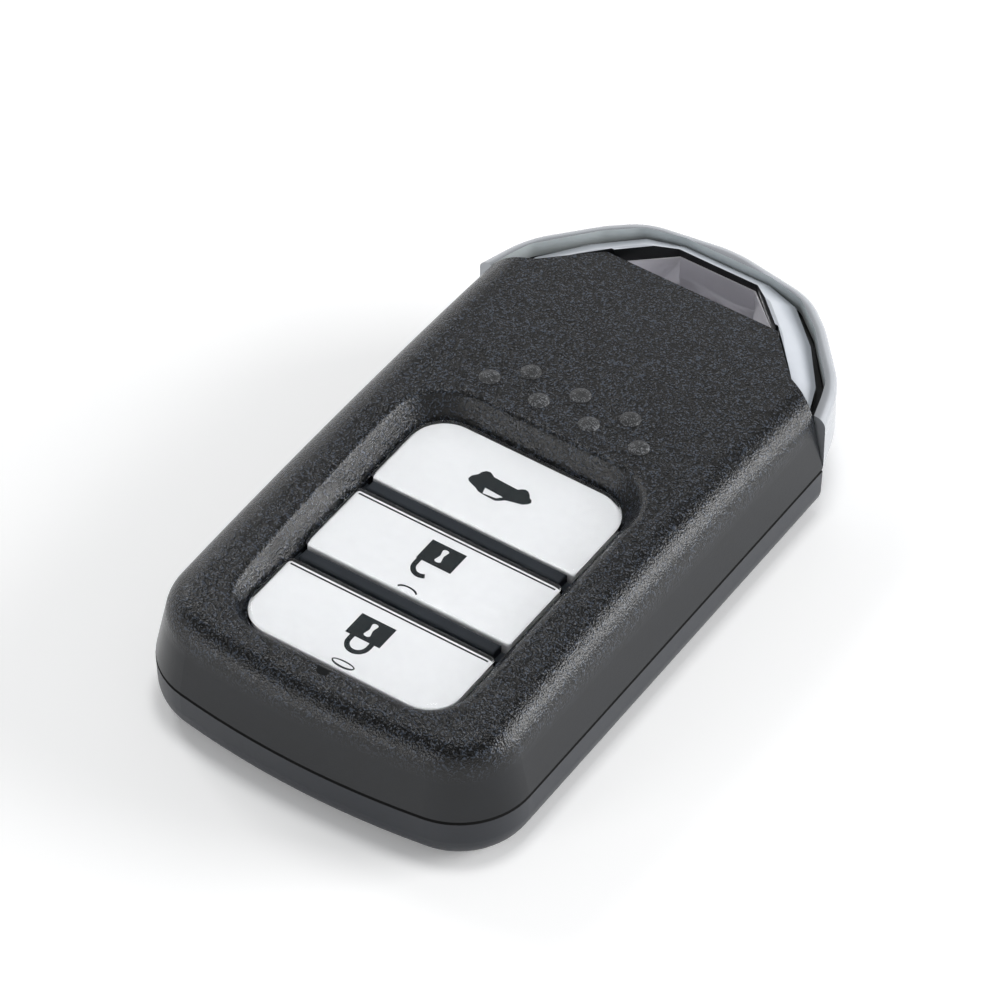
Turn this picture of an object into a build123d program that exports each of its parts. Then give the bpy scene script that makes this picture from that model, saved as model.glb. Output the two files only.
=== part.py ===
from build123d import *
import math
import os

os.makedirs("parts", exist_ok=True)

# Car key fob in millimetres. X is across the fob, +Y runs to the key-ring end, +Z is up through
# the buttons. The back rests on Z = 0 and the middle of the length is Y = 0. Places along the fob
# are distances from its near end, or from its far end where they belong to the key's head.

# Case, seen from above
fob_length = 70.8
near_half_width = 19.2
width_taper = 0.45
near_bulge = 2.2
near_corner_radius = 7.35
overrun = 12.0
near_y = -fob_length / 2
far_y = fob_length / 2
far_half_width = near_half_width - width_taper

# Case, seen from the side
parting_height = 5.5
crown_height = 14.1
crown_radius = 314.0
crown_from_near_end = 30.0
front_draft = 11.5
rear_draft = 2.0
top_edge_radius = 3.0
inner_edge_radius = 1.0
bottom_edge_radius = 3.0
side_wall = 1.4
top_wall = 1.5
floor_thickness = 1.3
parting_chamfer = 0.17
lip_height = 0.8
lip_thickness = 0.6
lip_clearance = 0.05
crown_y = near_y + crown_from_near_end

# End of the case, where the head of the emergency key begins
shoulder_from_far_end = 14.7
nose_tip_from_far_end = 7.4
nose_corner_from_far_end = 12.7
nose_root_from_side = 1.15
nose_corner_from_side = 4.85
nose_tip_from_side = 9.75
nose_wall = 1.2
nose_edge_chamfer = 0.4
nose_corner_radius = 1.2
bulkhead_from_shoulder = 2.9
bulkhead_thickness = 1.2
head_gap = 0.15
nose_root_half_width = far_half_width - nose_root_from_side
nose_corner_half_width = far_half_width - nose_corner_from_side
nose_tip_half_width = far_half_width - nose_tip_from_side
shoulder_y = far_y - shoulder_from_far_end
nose_tip_y = far_y - nose_tip_from_far_end
nose_corner_y = far_y - nose_corner_from_far_end
bulkhead_near_y = shoulder_y - bulkhead_from_shoulder
bulkhead_far_y = bulkhead_near_y + bulkhead_thickness

# Buttons, from the near end: lock, unlock and boot
button_half_width = 10.95
lock_near_edge = 6.6
lock_far_edge = 15.15
unlock_near_edge = 17.3
unlock_far_edge = 25.6
boot_near_edge = 27.4
boot_far_edge = 37.45
lock_corner_radius = 3.2
boot_corner_radius = 3.6
button_inner_radius = 0.4
button_edge_radius = 0.25
button_top = 12.14
button_travel = 0.35
button_clearance = 0.15
flange_width = 0.4
flange_thickness = 0.3
flange_gap = 0.1
cap_top_thickness = 0.8
cap_side_thickness = 0.7
carrier_clearance = 0.05

# Dish round the buttons, and the bars between them
dish_floor = 11.4
dish_margin = 0.3
dish_slope = 30.0
dish_wall = 1.05
dish_edge_radius = 0.8
bar_width = 1.2
bar_below_cap = 0.3
bar_end_gap = 0.7
bar_foot_height = 0.6
bar_edge_radius = 0.2

# Finger bumps
bump_radius = 0.95
bump_height = 0.35
bump_pitch = 5.37
bump_near_row = 42.0
bump_far_row = 44.7
near_bump_count = 4
far_bump_count = 3

# Status light
light_window_radius = 0.6
light_window_from_near_end = 4.8
light_window_clearance = 0.03
light_length = 1.6
light_width = 0.8
light_height = 0.6
light_gap = 0.1

# Head of the emergency key. Its outlines are shares of the head's half width and length.
head_overhang = 0.1
head_outline_radius = 11.0
head_half_width = far_half_width + head_overhang
head_outline_shares = [(1.0, 0.0), (0.913, 0.349), (0.647, 0.733), (0.482, 0.913), (0.06, 1.0)]
band_inner_shares = [(0.934, 0.0), (0.894, 0.168), (0.856, 0.299), (0.62, 0.656), (0.455, 0.835), (0.25, 0.9)]
trim_outer_shares = [(0.885, 0.036), (0.812, 0.278), (0.642, 0.567), (0.435, 0.814), (0.244, 0.89)]
band_top = 11.6
band_bottom = 1.8
band_top_radius = 1.0
band_bottom_radius = 4.6
core_top = 9.3
core_bottom = 2.2
core_edge_chamfer = 0.9
core_tail_half_width = 16.1
core_tail_from_bulkhead = 0.2
trim_edge_top = 10.6
trim_peak = 12.5
trim_slope = 54.0
rear_trim_edge = 1.3
rear_trim_low = 0.25
rear_trim_slope = 68.0
trim_gap = 0.12

# Window for a key ring
window_side_inset = 0.05
window_far_inset = 4.75
window_far_from_far_end = 3.15
window_set_back = 0.5
sleeve_thickness = 0.5
window_near_half_width = nose_tip_half_width - window_side_inset
window_far_half_width = nose_tip_half_width - window_far_inset
window_far_y = far_y - window_far_from_far_end

# Emergency key blade and its pin
blade_width = 8.0
blade_thickness = 2.2
blade_bottom = 2.9
blade_from_side = 7.8
blade_reach = 40.0
blade_grip = 6.0
blade_tip_chamfer = 2.6
blade_groove_depth = 0.6
blade_groove_width = 2.4
blade_groove_wave = 0.8
blade_groove_waves = 4
blade_clearance = 0.2
pin_radius = 0.8
pin_from_tail = 3.4

# Inner case
case_plate_thickness = 0.8
case_clearance = 0.3
case_rail_width = 0.8
rail_inset = 0.5
rib_thickness = 0.8
runner_inset = 0.8
blade_end_gap = 0.6

# Coin cell, a standard 2032, and its contacts
cell_radius = 10.0
cell_height = 3.2
cell_step = 0.3
cell_rim = 1.6
cell_x = 5.0
cell_from_near_end = 25.0
cell_bottom = 1.9
ring_clearance = 0.15
ring_thickness = 0.8
ring_height = 3.6
contact_thickness = 0.2
contact_width = 3.0
contact_radius = 5.5
contact_tail_gap = 0.1
pad_radius = 7.0

# Circuit board
board_bottom = 8.2
board_thickness = 0.8
board_inset = 1.1
board_far_gap = 0.6
post_radius = 1.1
post_gap = 0.05
post_from_side = 5.2
near_post_from_near_end = 13.0
far_post_from_bulkhead = 3.7

# Keypad mat
mat_thickness = 0.4
mat_rim_width = 0.4
mat_rim_gap = 0.25
mat_seal_gap = 0.05
mat_hole_clearance = 0.2

# Tact switches
switch_length = 3.6
switch_width = 3.0
plunger_radius = 0.8
plunger_height = 0.55
plunger_clearance = 0.05
press_clearance = 0.05

# Chips, aerial and capacitors on the board
chip_edge = 0.1
control_chip_size = 6.0
control_chip_height = 0.9
control_chip_from_side = 12.2
control_chip_from_bulkhead = 7.2
radio_chip_size = 4.0
radio_chip_height = 0.8
radio_chip_x = 1.2
radio_chip_from_bulkhead = 3.8
crystal_length = 3.2
crystal_width = 2.5
crystal_height = 0.7
crystal_x = 1.4
crystal_from_bulkhead = 9.6
aerial_size = 9.6
aerial_height = 2.4
aerial_from_side = 11.8
aerial_from_bulkhead = 6.6
aerial_flange = 0.5
aerial_waist = 1.5
winding_clearance = 0.05
capacitor_length = 1.0
capacitor_width = 0.5
capacitor_height = 0.5
capacitor_pitch = 1.6
capacitor_row_from_side = 7.5
capacitor_row_from_bulkhead = 11.4
capacitor_count = 6

# Gasket on the rim of the inner case
gasket_width = 0.4
gasket_height = 0.6
gasket_clearance = 0.35

# Release slider on the back
slider_from_bulkhead = 5.1
slider_length = 8.0
slider_width = 3.6
slider_travel = 2.0
slider_clearance = 0.2
slider_recess = 0.45
slider_recess_margin = 1.6
slider_face = 0.3
slider_edge_radius = 0.3
slider_ridge_height = 0.2
slider_ridge_width = 0.5
slider_ridges = 5
slider_plate_overhang = 1.2
slider_plate_thickness = 0.8
slider_plate_gap = 0.1
tongue_half_width = 1.5
tongue_clearance = 0.3
catch_gap = 0.1
catch_notch_depth = 0.8
catch_length = 1.0

# Release spring
spring_radius = 1.0
spring_wire_radius = 0.15
spring_length = 4.4
spring_turns = 5
spring_lift = 0.25
spring_post = 0.8
spring_post_width = 2.6
spring_seat_gap = 0.05

# Heights and places that follow from the sizes above
cell_y = near_y + cell_from_near_end
blade_x = blade_from_side - near_half_width
aerial_x = aerial_from_side - near_half_width
control_chip_x = near_half_width - control_chip_from_side
capacitor_row_x = near_half_width - capacitor_row_from_side
post_x = near_half_width - post_from_side
post_places = [near_y + near_post_from_near_end, bulkhead_near_y - far_post_from_bulkhead]
cell_top = cell_bottom + cell_height
plate_bottom = cell_top + contact_thickness
plate_top = plate_bottom + case_plate_thickness
board_top = board_bottom + board_thickness
mat_top = board_top + mat_thickness
dish_underside = dish_floor - dish_wall
flange_top = dish_underside - flange_gap
flange_bottom = flange_top - flange_thickness
switch_top = flange_bottom - button_travel - press_clearance
carrier_top = button_top - cap_top_thickness
blade_top = blade_bottom + blade_thickness
nose_under = core_top + head_gap
nose_over = core_bottom - head_gap
tail_y = bulkhead_far_y + core_tail_from_bulkhead
blade_tip_y = tail_y - blade_reach
slider_y = bulkhead_near_y - slider_from_bulkhead
head_length = far_y - shoulder_y - head_gap
light_window_y = near_y + light_window_from_near_end
contact_leg_reach = cell_radius + ring_clearance + ring_thickness + contact_tail_gap
pin_y = tail_y + pin_from_tail
slider_plate_bottom = floor_thickness + slider_plate_gap
catch_top = core_bottom - catch_gap
spring_x = (slider_length - slider_travel) / 2 + slider_plate_overhang
spring_z = floor_thickness + spring_lift + spring_radius + spring_wire_radius
spring_top = spring_z + spring_radius + spring_wire_radius
buttons = {
    "lock": (near_y + lock_near_edge, near_y + lock_far_edge, lock_corner_radius, button_inner_radius),
    "unlock": (near_y + unlock_near_edge, near_y + unlock_far_edge, button_inner_radius, button_inner_radius),
    "boot": (near_y + boot_near_edge, near_y + boot_far_edge, button_inner_radius, boot_corner_radius),
}


def block(x_low, x_high, y_low, y_high, z_low, z_high):
    """A rectangular block between two corners."""
    middle = Pos((x_low + x_high) / 2, (y_low + y_high) / 2, (z_low + z_high) / 2)
    return middle * Box(x_high - x_low, y_high - y_low, z_high - z_low)


def centred_block(x, y, length, width, z_low, z_high):
    """A block about a point on the plan, its length across the fob."""
    return block(x - length / 2, x + length / 2, y - width / 2, y + width / 2, z_low, z_high)


def post(x, y, radius, z_low, z_high):
    """A round upright post."""
    return Pos(x, y, (z_low + z_high) / 2) * Cylinder(radius, z_high - z_low)


def prism(face, z_low, z_high):
    """A flat outline raised between two heights."""
    return Pos(0, 0, z_low) * extrude(face, amount=z_high - z_low)


def mirrored_outline(half_points):
    """A closed outline from its right half, listed from the near end to the far one."""
    left = [(-x, y) for x, y in reversed(half_points)]
    return make_face(Polyline(*half_points, *left, close=True))


def rounded_plan(y_low, y_high, half_width, near_radius, far_radius):
    """A rectangle about X = 0 whose near and far corners have their own radii."""
    middle = (y_low + y_high) / 2
    near = Pos(0, (y_low + middle) / 2) * Rectangle(2 * half_width, middle - y_low)
    far = Pos(0, (y_high + middle) / 2) * Rectangle(2 * half_width, y_high - middle)
    near = fillet(near.vertices().group_by(Axis.Y)[0], near_radius)
    far = fillet(far.vertices().group_by(Axis.Y)[-1], far_radius)
    return near + far


def case_plan(inset):
    """The case's outline at the parting, run on past the far end and drawn in by an inset."""
    corner_y = near_y + near_bulge
    run_y = far_y + overrun
    near_arc = ThreePointArc((-near_half_width, corner_y), (0, near_y), (near_half_width, corner_y))
    sides = Polyline(
        (near_half_width, corner_y),
        (far_half_width, run_y),
        (-far_half_width, run_y),
        (-near_half_width, corner_y),
    )
    plan = make_face(near_arc.edges() + sides.edges())
    plan = fillet(plan.vertices().group_by(Axis.Y)[0], near_corner_radius)
    return offset(plan, -inset) if inset else plan


def front_form(inset, drop, rounding):
    """The crowned upper half of the case as a solid, drawn in by an inset and lowered by a drop."""
    height = crown_height - parting_height + overrun
    form = Pos(0, 0, parting_height) * extrude(case_plan(inset), amount=height, taper=front_draft)
    radius = crown_radius - drop
    crown = Pos(0, crown_y, crown_height - crown_radius) * Rot(0, 90, 0) * Cylinder(radius, fob_length)
    form = form & crown
    rim = form.faces().sort_by(Axis.Z)[-1].edges()
    rim = [edge for edge in rim if edge.center().Y < far_y]
    return fillet(rim, rounding)


def rear_form(inset, raise_by, rounding):
    """The lower half of the case as a solid, drawn in by an inset and raised off the back."""
    form = Pos(0, 0, parting_height) * extrude(
        case_plan(inset), amount=-(parting_height - raise_by), taper=rear_draft
    )
    rim = form.faces().sort_by(Axis.Z)[0].edges()
    rim = [edge for edge in rim if edge.center().Y < far_y]
    return fillet(rim, rounding)


def nose_plan(inset):
    """The tapered nose that the head of the key reaches round, from the bulkhead to its tip."""
    corner_inset = inset * nose_corner_half_width / nose_tip_half_width
    plan = mirrored_outline([
        (nose_root_half_width - inset, bulkhead_far_y),
        (nose_root_half_width - inset, shoulder_y),
        (nose_corner_half_width - corner_inset, nose_corner_y - inset / 2),
        (nose_tip_half_width - inset, nose_tip_y - inset),
    ])
    corners = plan.vertices().group_by(Axis.Y)[2]
    return fillet(corners, nose_corner_radius)


def span(y_low, y_high):
    """A slab across the whole fob between two places along it."""
    return block(-fob_length, fob_length, y_low, y_high, -overrun, crown_height + overrun)


def buttons_plan(margin):
    """The outline of the three buttons together, with a margin."""
    return rounded_plan(
        near_y + lock_near_edge - margin,
        near_y + boot_far_edge + margin,
        button_half_width + margin,
        lock_corner_radius + margin,
        boot_corner_radius + margin,
    )


def lip_ring(outer_inset, height):
    """The tongue that runs round inside the parting, up to the bulkhead."""
    ring = prism(case_plan(outer_inset), parting_height, parting_height + height)
    ring = ring - prism(case_plan(side_wall), parting_height - overrun, parting_height + overrun)
    return ring & span(near_y - overrun, bulkhead_far_y)


def bumps():
    """Two rows of low round bumps in front of the buttons, each a slice of a ball."""
    ball_radius = (bump_radius**2 + bump_height**2) / (2 * bump_height)
    balls = []
    for row, count in ((bump_near_row, near_bump_count), (bump_far_row, far_bump_count)):
        y = near_y + row
        surface = crown_height - crown_radius + math.sqrt(crown_radius**2 - (y - crown_y) ** 2)
        for number in range(count):
            x = (number - (count - 1) / 2) * bump_pitch
            place = Pos(x, y, surface + bump_height - ball_radius)
            balls.append(place * Rot(90, 0, 0) * Sphere(ball_radius))
    return balls


def is_nose_edge(edge):
    """Whether an edge lies along the top of the nose's tip."""
    middle = edge.center()
    return middle.Z > nose_under + nose_edge_chamfer and abs(middle.Y - nose_tip_y) < head_gap


def is_dish_rim(edge):
    """Whether an edge of the dish lies at its top, not round its floor."""
    return edge.center().Z > dish_floor + dish_edge_radius / 2


def spread_prism(face, z_low, z_high):
    """An outline raised between two heights, spreading outward at the dish's slope."""
    return Pos(0, 0, z_low) * extrude(face, amount=z_high - z_low, taper=-dish_slope)


def front_skin():
    """The front cover's outer shape with its dish, before it is hollowed."""
    shape = front_form(0, 0, top_edge_radius)
    bottom = shape.faces().sort_by(Axis.Z)[0].edges()
    shape = chamfer([edge for edge in bottom if edge.center().Y < far_y], parting_chamfer)
    keep = span(near_y - overrun, shoulder_y) + prism(nose_plan(0), nose_under, crown_height + overrun)
    shape = shape & keep
    shape = chamfer([edge for edge in shape.edges() if is_nose_edge(edge)], nose_edge_chamfer)
    dish = spread_prism(buttons_plan(dish_margin), dish_floor, crown_height + overrun)
    dished = shape - dish
    cut_edges = new_edges(shape, dish, combined=dished)
    shape = fillet([edge for edge in cut_edges if is_dish_rim(edge)], dish_edge_radius)
    return shape + bumps()


def front_room():
    """The hollow inside the front cover: the case, the head's tail and the nose."""
    inside = front_form(side_wall, top_wall, inner_edge_radius)
    case_room = inside & span(near_y - overrun, bulkhead_near_y)
    under_dish = spread_prism(buttons_plan(dish_margin + dish_wall), dish_underside, crown_height)
    tail_room = inside & block(
        -fob_length, fob_length, bulkhead_far_y, far_y, parting_height - overrun, nose_under
    )
    nose_room = inside & prism(nose_plan(nose_wall), nose_under - overrun, crown_height)
    nose_room = nose_room & span(bulkhead_far_y, far_y)
    return case_room - under_dish + tail_room + nose_room


def front_cover():
    """The pebbled upper shell with its dish, button opening, nose, bumps and board posts."""
    skin = front_skin()
    shell = skin - front_room()
    for place in post_places:
        for side in (-post_x, post_x):
            boss = post(side, place, post_radius, board_top + post_gap, crown_height)
            shell = shell + (boss & skin)
    shell = shell - prism(buttons_plan(button_clearance), parting_height, crown_height)
    shell = shell - lip_ring(side_wall - lip_thickness - lip_clearance, lip_height + lip_clearance)
    hole_radius = light_window_radius + light_window_clearance
    return shell - post(0, light_window_y, hole_radius, board_top, crown_height)


def rear_cover():
    """The smooth lower shell with its blade channel, slider slot and ribs."""
    shape = rear_form(0, 0, bottom_edge_radius)
    top = shape.faces().sort_by(Axis.Z)[-1].edges()
    shape = chamfer([edge for edge in top if edge.center().Y < far_y], parting_chamfer)
    keep = span(near_y - overrun, shoulder_y) + prism(nose_plan(0), -overrun, nose_over)
    shell = shape & keep
    inside = rear_form(side_wall, floor_thickness, bottom_edge_radius - side_wall)
    shell = shell - (inside & span(near_y - overrun, bulkhead_near_y))
    shell = shell - (inside & block(-fob_length, fob_length, bulkhead_far_y, far_y, nose_over, crown_height))
    shell = shell + lip_ring(side_wall - lip_thickness, lip_height)
    for rib in rear_ribs():
        shell = shell + rib
    for cut in rear_cuts():
        shell = shell - cut
    return shell


def rear_ribs():
    """The blade's channel walls and runners, and the wall that the release spring pushes on."""
    wall_top = plate_bottom - lip_clearance
    channel_end = blade_tip_y - blade_end_gap
    ribs = []
    for side in (-1, 1):
        inner = blade_x + side * (blade_width / 2 + blade_clearance)
        outer = inner + side * rib_thickness
        low, high = min(inner, outer), max(inner, outer)
        ribs.append(block(low, high, channel_end, bulkhead_near_y, floor_thickness, wall_top))
        runner = blade_x + side * (blade_width / 2 - runner_inset)
        low, high = min(runner, runner - side * rib_thickness), max(runner, runner - side * rib_thickness)
        runner_top = blade_bottom - blade_clearance
        ribs.append(block(low, high, channel_end, bulkhead_near_y, floor_thickness, runner_top))
    end_low = blade_x - blade_width / 2 - blade_clearance - rib_thickness
    end_high = blade_x + blade_width / 2 + blade_clearance + rib_thickness
    ribs.append(block(end_low, end_high, channel_end - rib_thickness, channel_end, floor_thickness, wall_top))
    seat = spring_x + spring_length + spring_seat_gap + rib_thickness / 2
    ribs.append(
        centred_block(seat, slider_y, rib_thickness, spring_post_width, floor_thickness, spring_top)
    )
    return ribs


def rear_cuts():
    """The blade's and the catch's ways through the bulkhead, and the slider's slot and recess."""
    half_blade = blade_width / 2 + blade_clearance
    blade_way = block(
        blade_x - half_blade,
        blade_x + half_blade,
        bulkhead_near_y,
        bulkhead_far_y,
        blade_bottom - blade_clearance,
        parting_height,
    )
    half_way = tongue_half_width + slider_travel / 2 + tongue_clearance
    catch_way = block(-half_way, half_way, bulkhead_near_y, shoulder_y, floor_thickness, core_bottom)
    slot_length = slider_length + slider_travel + 2 * slider_clearance
    slot_width = slider_width + 2 * slider_clearance
    slot = centred_block(0, slider_y, slot_length, slot_width, 0, floor_thickness)
    margin = 2 * slider_recess_margin
    recess = centred_block(0, slider_y, slot_length + margin, slot_width + margin, 0, slider_recess)
    return [blade_way, catch_way, slot, recess]


def button_plan(name, margin):
    """One button's outline with a margin, its corners rounded to suit."""
    y_low, y_high, near_radius, far_radius = buttons[name]
    smallest = button_inner_radius / 2
    return rounded_plan(
        y_low - margin,
        y_high + margin,
        button_half_width + margin,
        max(near_radius + margin, smallest),
        max(far_radius + margin, smallest),
    )


def button_cap(name):
    """A clear cap with a flange under the cover and a hollow for its carrier."""
    cap = prism(button_plan(name, 0), flange_bottom, button_top)
    cap = fillet(cap.faces().sort_by(Axis.Z)[-1].edges(), button_edge_radius)
    cap = cap + prism(button_plan(name, flange_width), flange_bottom, flange_top)
    return cap - prism(button_plan(name, -cap_side_thickness), flange_bottom, carrier_top)


def button_carrier(name):
    """The painted carrier that fills a cap and presses the switch."""
    return prism(button_plan(name, -cap_side_thickness - carrier_clearance), flange_bottom, carrier_top)


def button_middle(name):
    """The place along the fob of a button's middle."""
    return (buttons[name][0] + buttons[name][1]) / 2


def switch_plunger(name):
    """The round plunger of a tact switch, which moves with its button."""
    return post(0, button_middle(name), plunger_radius, flange_bottom - plunger_height, flange_bottom)


def switch_housing(name):
    """A tact switch's case with a bore for its plunger."""
    y = button_middle(name)
    case = centred_block(0, y, switch_length, switch_width, board_top, switch_top)
    return case - post(0, y, plunger_radius + plunger_clearance, board_top, switch_top)


def divider_bar(near_name, far_name):
    """A bar between two buttons, on a foot that spans the opening."""
    middle = (buttons[near_name][1] + buttons[far_name][0]) / 2
    foot_top = dish_underside + bar_foot_height
    foot_length = 2 * (button_half_width + button_clearance)
    foot = centred_block(0, middle, foot_length, bar_width, dish_underside, foot_top)
    bar_length = foot_length - 2 * bar_end_gap
    bar = centred_block(0, middle, bar_length, bar_width, foot_top, button_top - bar_below_cap)
    bar = fillet(bar.faces().sort_by(Axis.Z)[-1].edges(), bar_edge_radius)
    return foot + bar


def keypad_mat():
    """A rubber mat over the board with a sealing rim and holes for the switches."""
    rim_inside = flange_width + mat_rim_gap
    rim_top = dish_underside - mat_seal_gap
    mat = prism(buttons_plan(rim_inside + mat_rim_width), board_top, rim_top)
    mat = mat - prism(buttons_plan(rim_inside), mat_top, rim_top)
    for name in buttons:
        length = switch_length + 2 * mat_hole_clearance
        width = switch_width + 2 * mat_hole_clearance
        mat = mat - centred_block(0, button_middle(name), length, width, board_top, mat_top)
    return mat


def light_window():
    """A clear rod through the cover over the status light, flush with the dish."""
    base = board_top + light_height + light_gap
    return post(0, light_window_y, light_window_radius, base, crown_height) & front_skin()


def inner_case():
    """The tray between the covers: board rails above, the coin cell's ring below."""
    inset = side_wall + case_clearance
    far_end = bulkhead_near_y - case_clearance
    tray = prism(case_plan(inset), plate_bottom, plate_top)
    rail = prism(case_plan(inset + rail_inset), plate_top, board_bottom)
    rail = rail - prism(case_plan(inset + rail_inset + case_rail_width), plate_top, board_bottom)
    far_rail = prism(case_plan(inset + rail_inset), plate_top, board_bottom)
    far_rail = far_rail & span(far_end - case_rail_width, far_end)
    tray = (tray + rail & span(near_y, far_end)) + far_rail
    ring_inside = cell_radius + ring_clearance
    ring_bottom = plate_bottom - ring_height
    ring = post(cell_x, cell_y, ring_inside + ring_thickness, ring_bottom, plate_bottom)
    ring = ring - post(cell_x, cell_y, ring_inside, ring_bottom, plate_bottom)
    tray = tray + ring
    reach = contact_leg_reach + contact_thickness + ring_clearance
    half = contact_width / 2 + ring_clearance
    for side in (-1, 1):
        low, high = sorted((cell_y, cell_y + side * reach))
        tray = tray - block(cell_x - half, cell_x + half, low, high, ring_bottom, plate_bottom)
        leg_gap = contact_thickness + 2 * ring_clearance
        low, high = sorted((cell_y + side * (reach - leg_gap), cell_y + side * reach))
        tray = tray - block(cell_x - half, cell_x + half, low, high, plate_bottom, plate_top)
    return tray


def battery_contact(side, z_low):
    """A sprung disc against the cell with a strip to a leg that rises to the board."""
    z_high = z_low + contact_thickness
    disc = post(cell_x, cell_y, contact_radius, z_low, z_high)
    leg_y = cell_y + side * contact_leg_reach
    half = contact_width / 2
    low, high = sorted((cell_y, leg_y))
    strip = block(cell_x - half, cell_x + half, low, high, z_low, z_high)
    low, high = sorted((leg_y, leg_y + side * contact_thickness))
    leg = block(cell_x - half, cell_x + half, low, high, z_low, board_bottom)
    return disc + strip + leg


def coin_cell():
    """A standard 2032 cell, its positive can up and its smaller negative cap down."""
    can = post(cell_x, cell_y, cell_radius, cell_bottom + cell_step, cell_top)
    return can + post(cell_x, cell_y, cell_radius - cell_rim, cell_bottom, cell_bottom + cell_step)


def circuit_board():
    """The board on the inner case's rails."""
    board = prism(case_plan(side_wall + board_inset), board_bottom, board_top)
    return board & span(near_y, bulkhead_near_y - board_far_gap)


def gasket():
    """A soft ring on the inner case's rim, against the front cover's wall."""
    outer = side_wall + gasket_clearance
    ring = prism(case_plan(outer), plate_top, plate_top + gasket_height)
    ring = ring - prism(case_plan(outer + gasket_width), plate_top, plate_top + gasket_height)
    return ring & span(near_y, bulkhead_near_y - case_clearance)


def chip(x, y, length, width, height):
    """A small flat part on the board with softened upper edges."""
    body = centred_block(x, y, length, width, board_top, board_top + height)
    return chamfer(body.faces().sort_by(Axis.Z)[-1].edges(), chip_edge)


def aerial_core():
    """The ferrite spool of the low-frequency aerial."""
    y = bulkhead_near_y - aerial_from_bulkhead
    top = board_top + aerial_height
    waist = aerial_size - 2 * aerial_waist
    spool = centred_block(aerial_x, y, waist, waist, board_top, top)
    foot = centred_block(aerial_x, y, aerial_size, aerial_size, board_top, board_top + aerial_flange)
    lid = centred_block(aerial_x, y, aerial_size, aerial_size, top - aerial_flange, top)
    return spool + foot + lid


def aerial_winding():
    """The copper winding round the spool's waist, as one coil."""
    y = bulkhead_near_y - aerial_from_bulkhead
    low = board_top + aerial_flange + winding_clearance
    high = board_top + aerial_height - aerial_flange - winding_clearance
    outer = aerial_size - aerial_waist
    inner = aerial_size - 2 * aerial_waist + 2 * winding_clearance
    coil = centred_block(aerial_x, y, outer, outer, low, high)
    return coil - centred_block(aerial_x, y, inner, inner, low, high)


def capacitors():
    """A row of small capacitors along the board's side."""
    row = []
    for number in range(capacitor_count):
        place = bulkhead_near_y - capacitor_row_from_bulkhead + number * capacitor_pitch
        row.append(chip(capacitor_row_x, place, capacitor_length, capacitor_width, capacitor_height))
    return Compound(children=row)


def head_outline(shares, tail):
    """An outline of the key's head from its shares, run back towards the case by a tail."""
    base = shoulder_y + head_gap
    points = [(head_half_width * across, base + head_length * along) for across, along in shares]
    if tail:
        points.insert(0, (points[0][0], points[0][1] - tail))
    return mirrored_outline(points)


def window_plan(margin):
    """The key-ring window's outline, grown by a margin."""
    window = mirrored_outline([
        (window_near_half_width, nose_tip_y),
        (window_far_half_width, window_far_y),
    ])
    return offset(window, margin, kind=Kind.INTERSECTION) if margin else window


def head_band():
    """The bright outer band round the key's head."""
    face = head_outline(head_outline_shares, 0)
    corners = [corner for corner in face.vertices() if corner.Y > shoulder_y + 2 * head_gap]
    band = prism(fillet(corners, head_outline_radius), band_bottom, band_top)
    for end, radius in ((-1, band_top_radius), (0, band_bottom_radius)):
        rim = band.faces().sort_by(Axis.Z)[end].edges()
        band = fillet([edge for edge in rim if edge.center().Y > shoulder_y + 2 * head_gap], radius)
    return band - prism(head_outline(band_inner_shares, overrun), band_bottom, band_top)


def key_head_core():
    """The black core moulded round the blade, with its tail in the case and the window through it."""
    core = prism(head_outline(band_inner_shares, 0), core_bottom, core_top)
    rim = core.faces().sort_by(Axis.Z)[0].edges()
    core = chamfer([edge for edge in rim if edge.center().Y > shoulder_y + 2 * head_gap], core_edge_chamfer)
    tail = block(
        -core_tail_half_width, core_tail_half_width, tail_y, shoulder_y + 2 * head_gap, core_bottom, core_top
    )
    core = core + tail - prism(window_plan(window_set_back + sleeve_thickness), core_bottom, core_top)
    half = tongue_half_width + slider_travel / 2 + tongue_clearance
    notch_top = core_bottom + catch_notch_depth
    notch = block(-half, half, tail_y + catch_length / 2, tail_y + 2 * catch_length, core_bottom, notch_top)
    return core - notch - blade_form() - post(blade_x, pin_y, pin_radius, core_bottom, core_top)


def head_trim(edge_height, end_height, slope):
    """A bright face of the head: upright at its outer edge, then sloping in to the case's nose."""
    face = head_outline(trim_outer_shares, overrun)
    seat = core_top if end_height > edge_height else core_bottom
    low, high = sorted((seat, edge_height))
    trim = prism(face, low, high)
    trim = trim + Pos(0, 0, edge_height) * extrude(face, amount=end_height - edge_height, taper=slope)
    trim = trim & span(shoulder_y + head_gap, far_y)
    low, high = sorted((seat, end_height))
    trim = trim - prism(nose_plan(-trim_gap), low - overrun, high + overrun)
    return trim - prism(window_plan(0), low - overrun, high + overrun)


def window_sleeve():
    """The bright lining of the key-ring window."""
    sleeve = prism(window_plan(window_set_back + sleeve_thickness), core_bottom, core_top)
    return sleeve - prism(window_plan(window_set_back), core_bottom, core_top)


def blade_form():
    """The blade without its grooves, from its grip in the core to its pointed tip."""
    half = blade_width / 2
    root = tail_y + blade_grip
    points = [
        (blade_x - half, root),
        (blade_x - half, blade_tip_y + blade_tip_chamfer),
        (blade_x - half + blade_tip_chamfer, blade_tip_y),
        (blade_x + half - blade_tip_chamfer, blade_tip_y),
        (blade_x + half, blade_tip_y + blade_tip_chamfer),
        (blade_x + half, root),
    ]
    return prism(make_face(Polyline(*points, close=True)), blade_bottom, blade_top)


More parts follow.
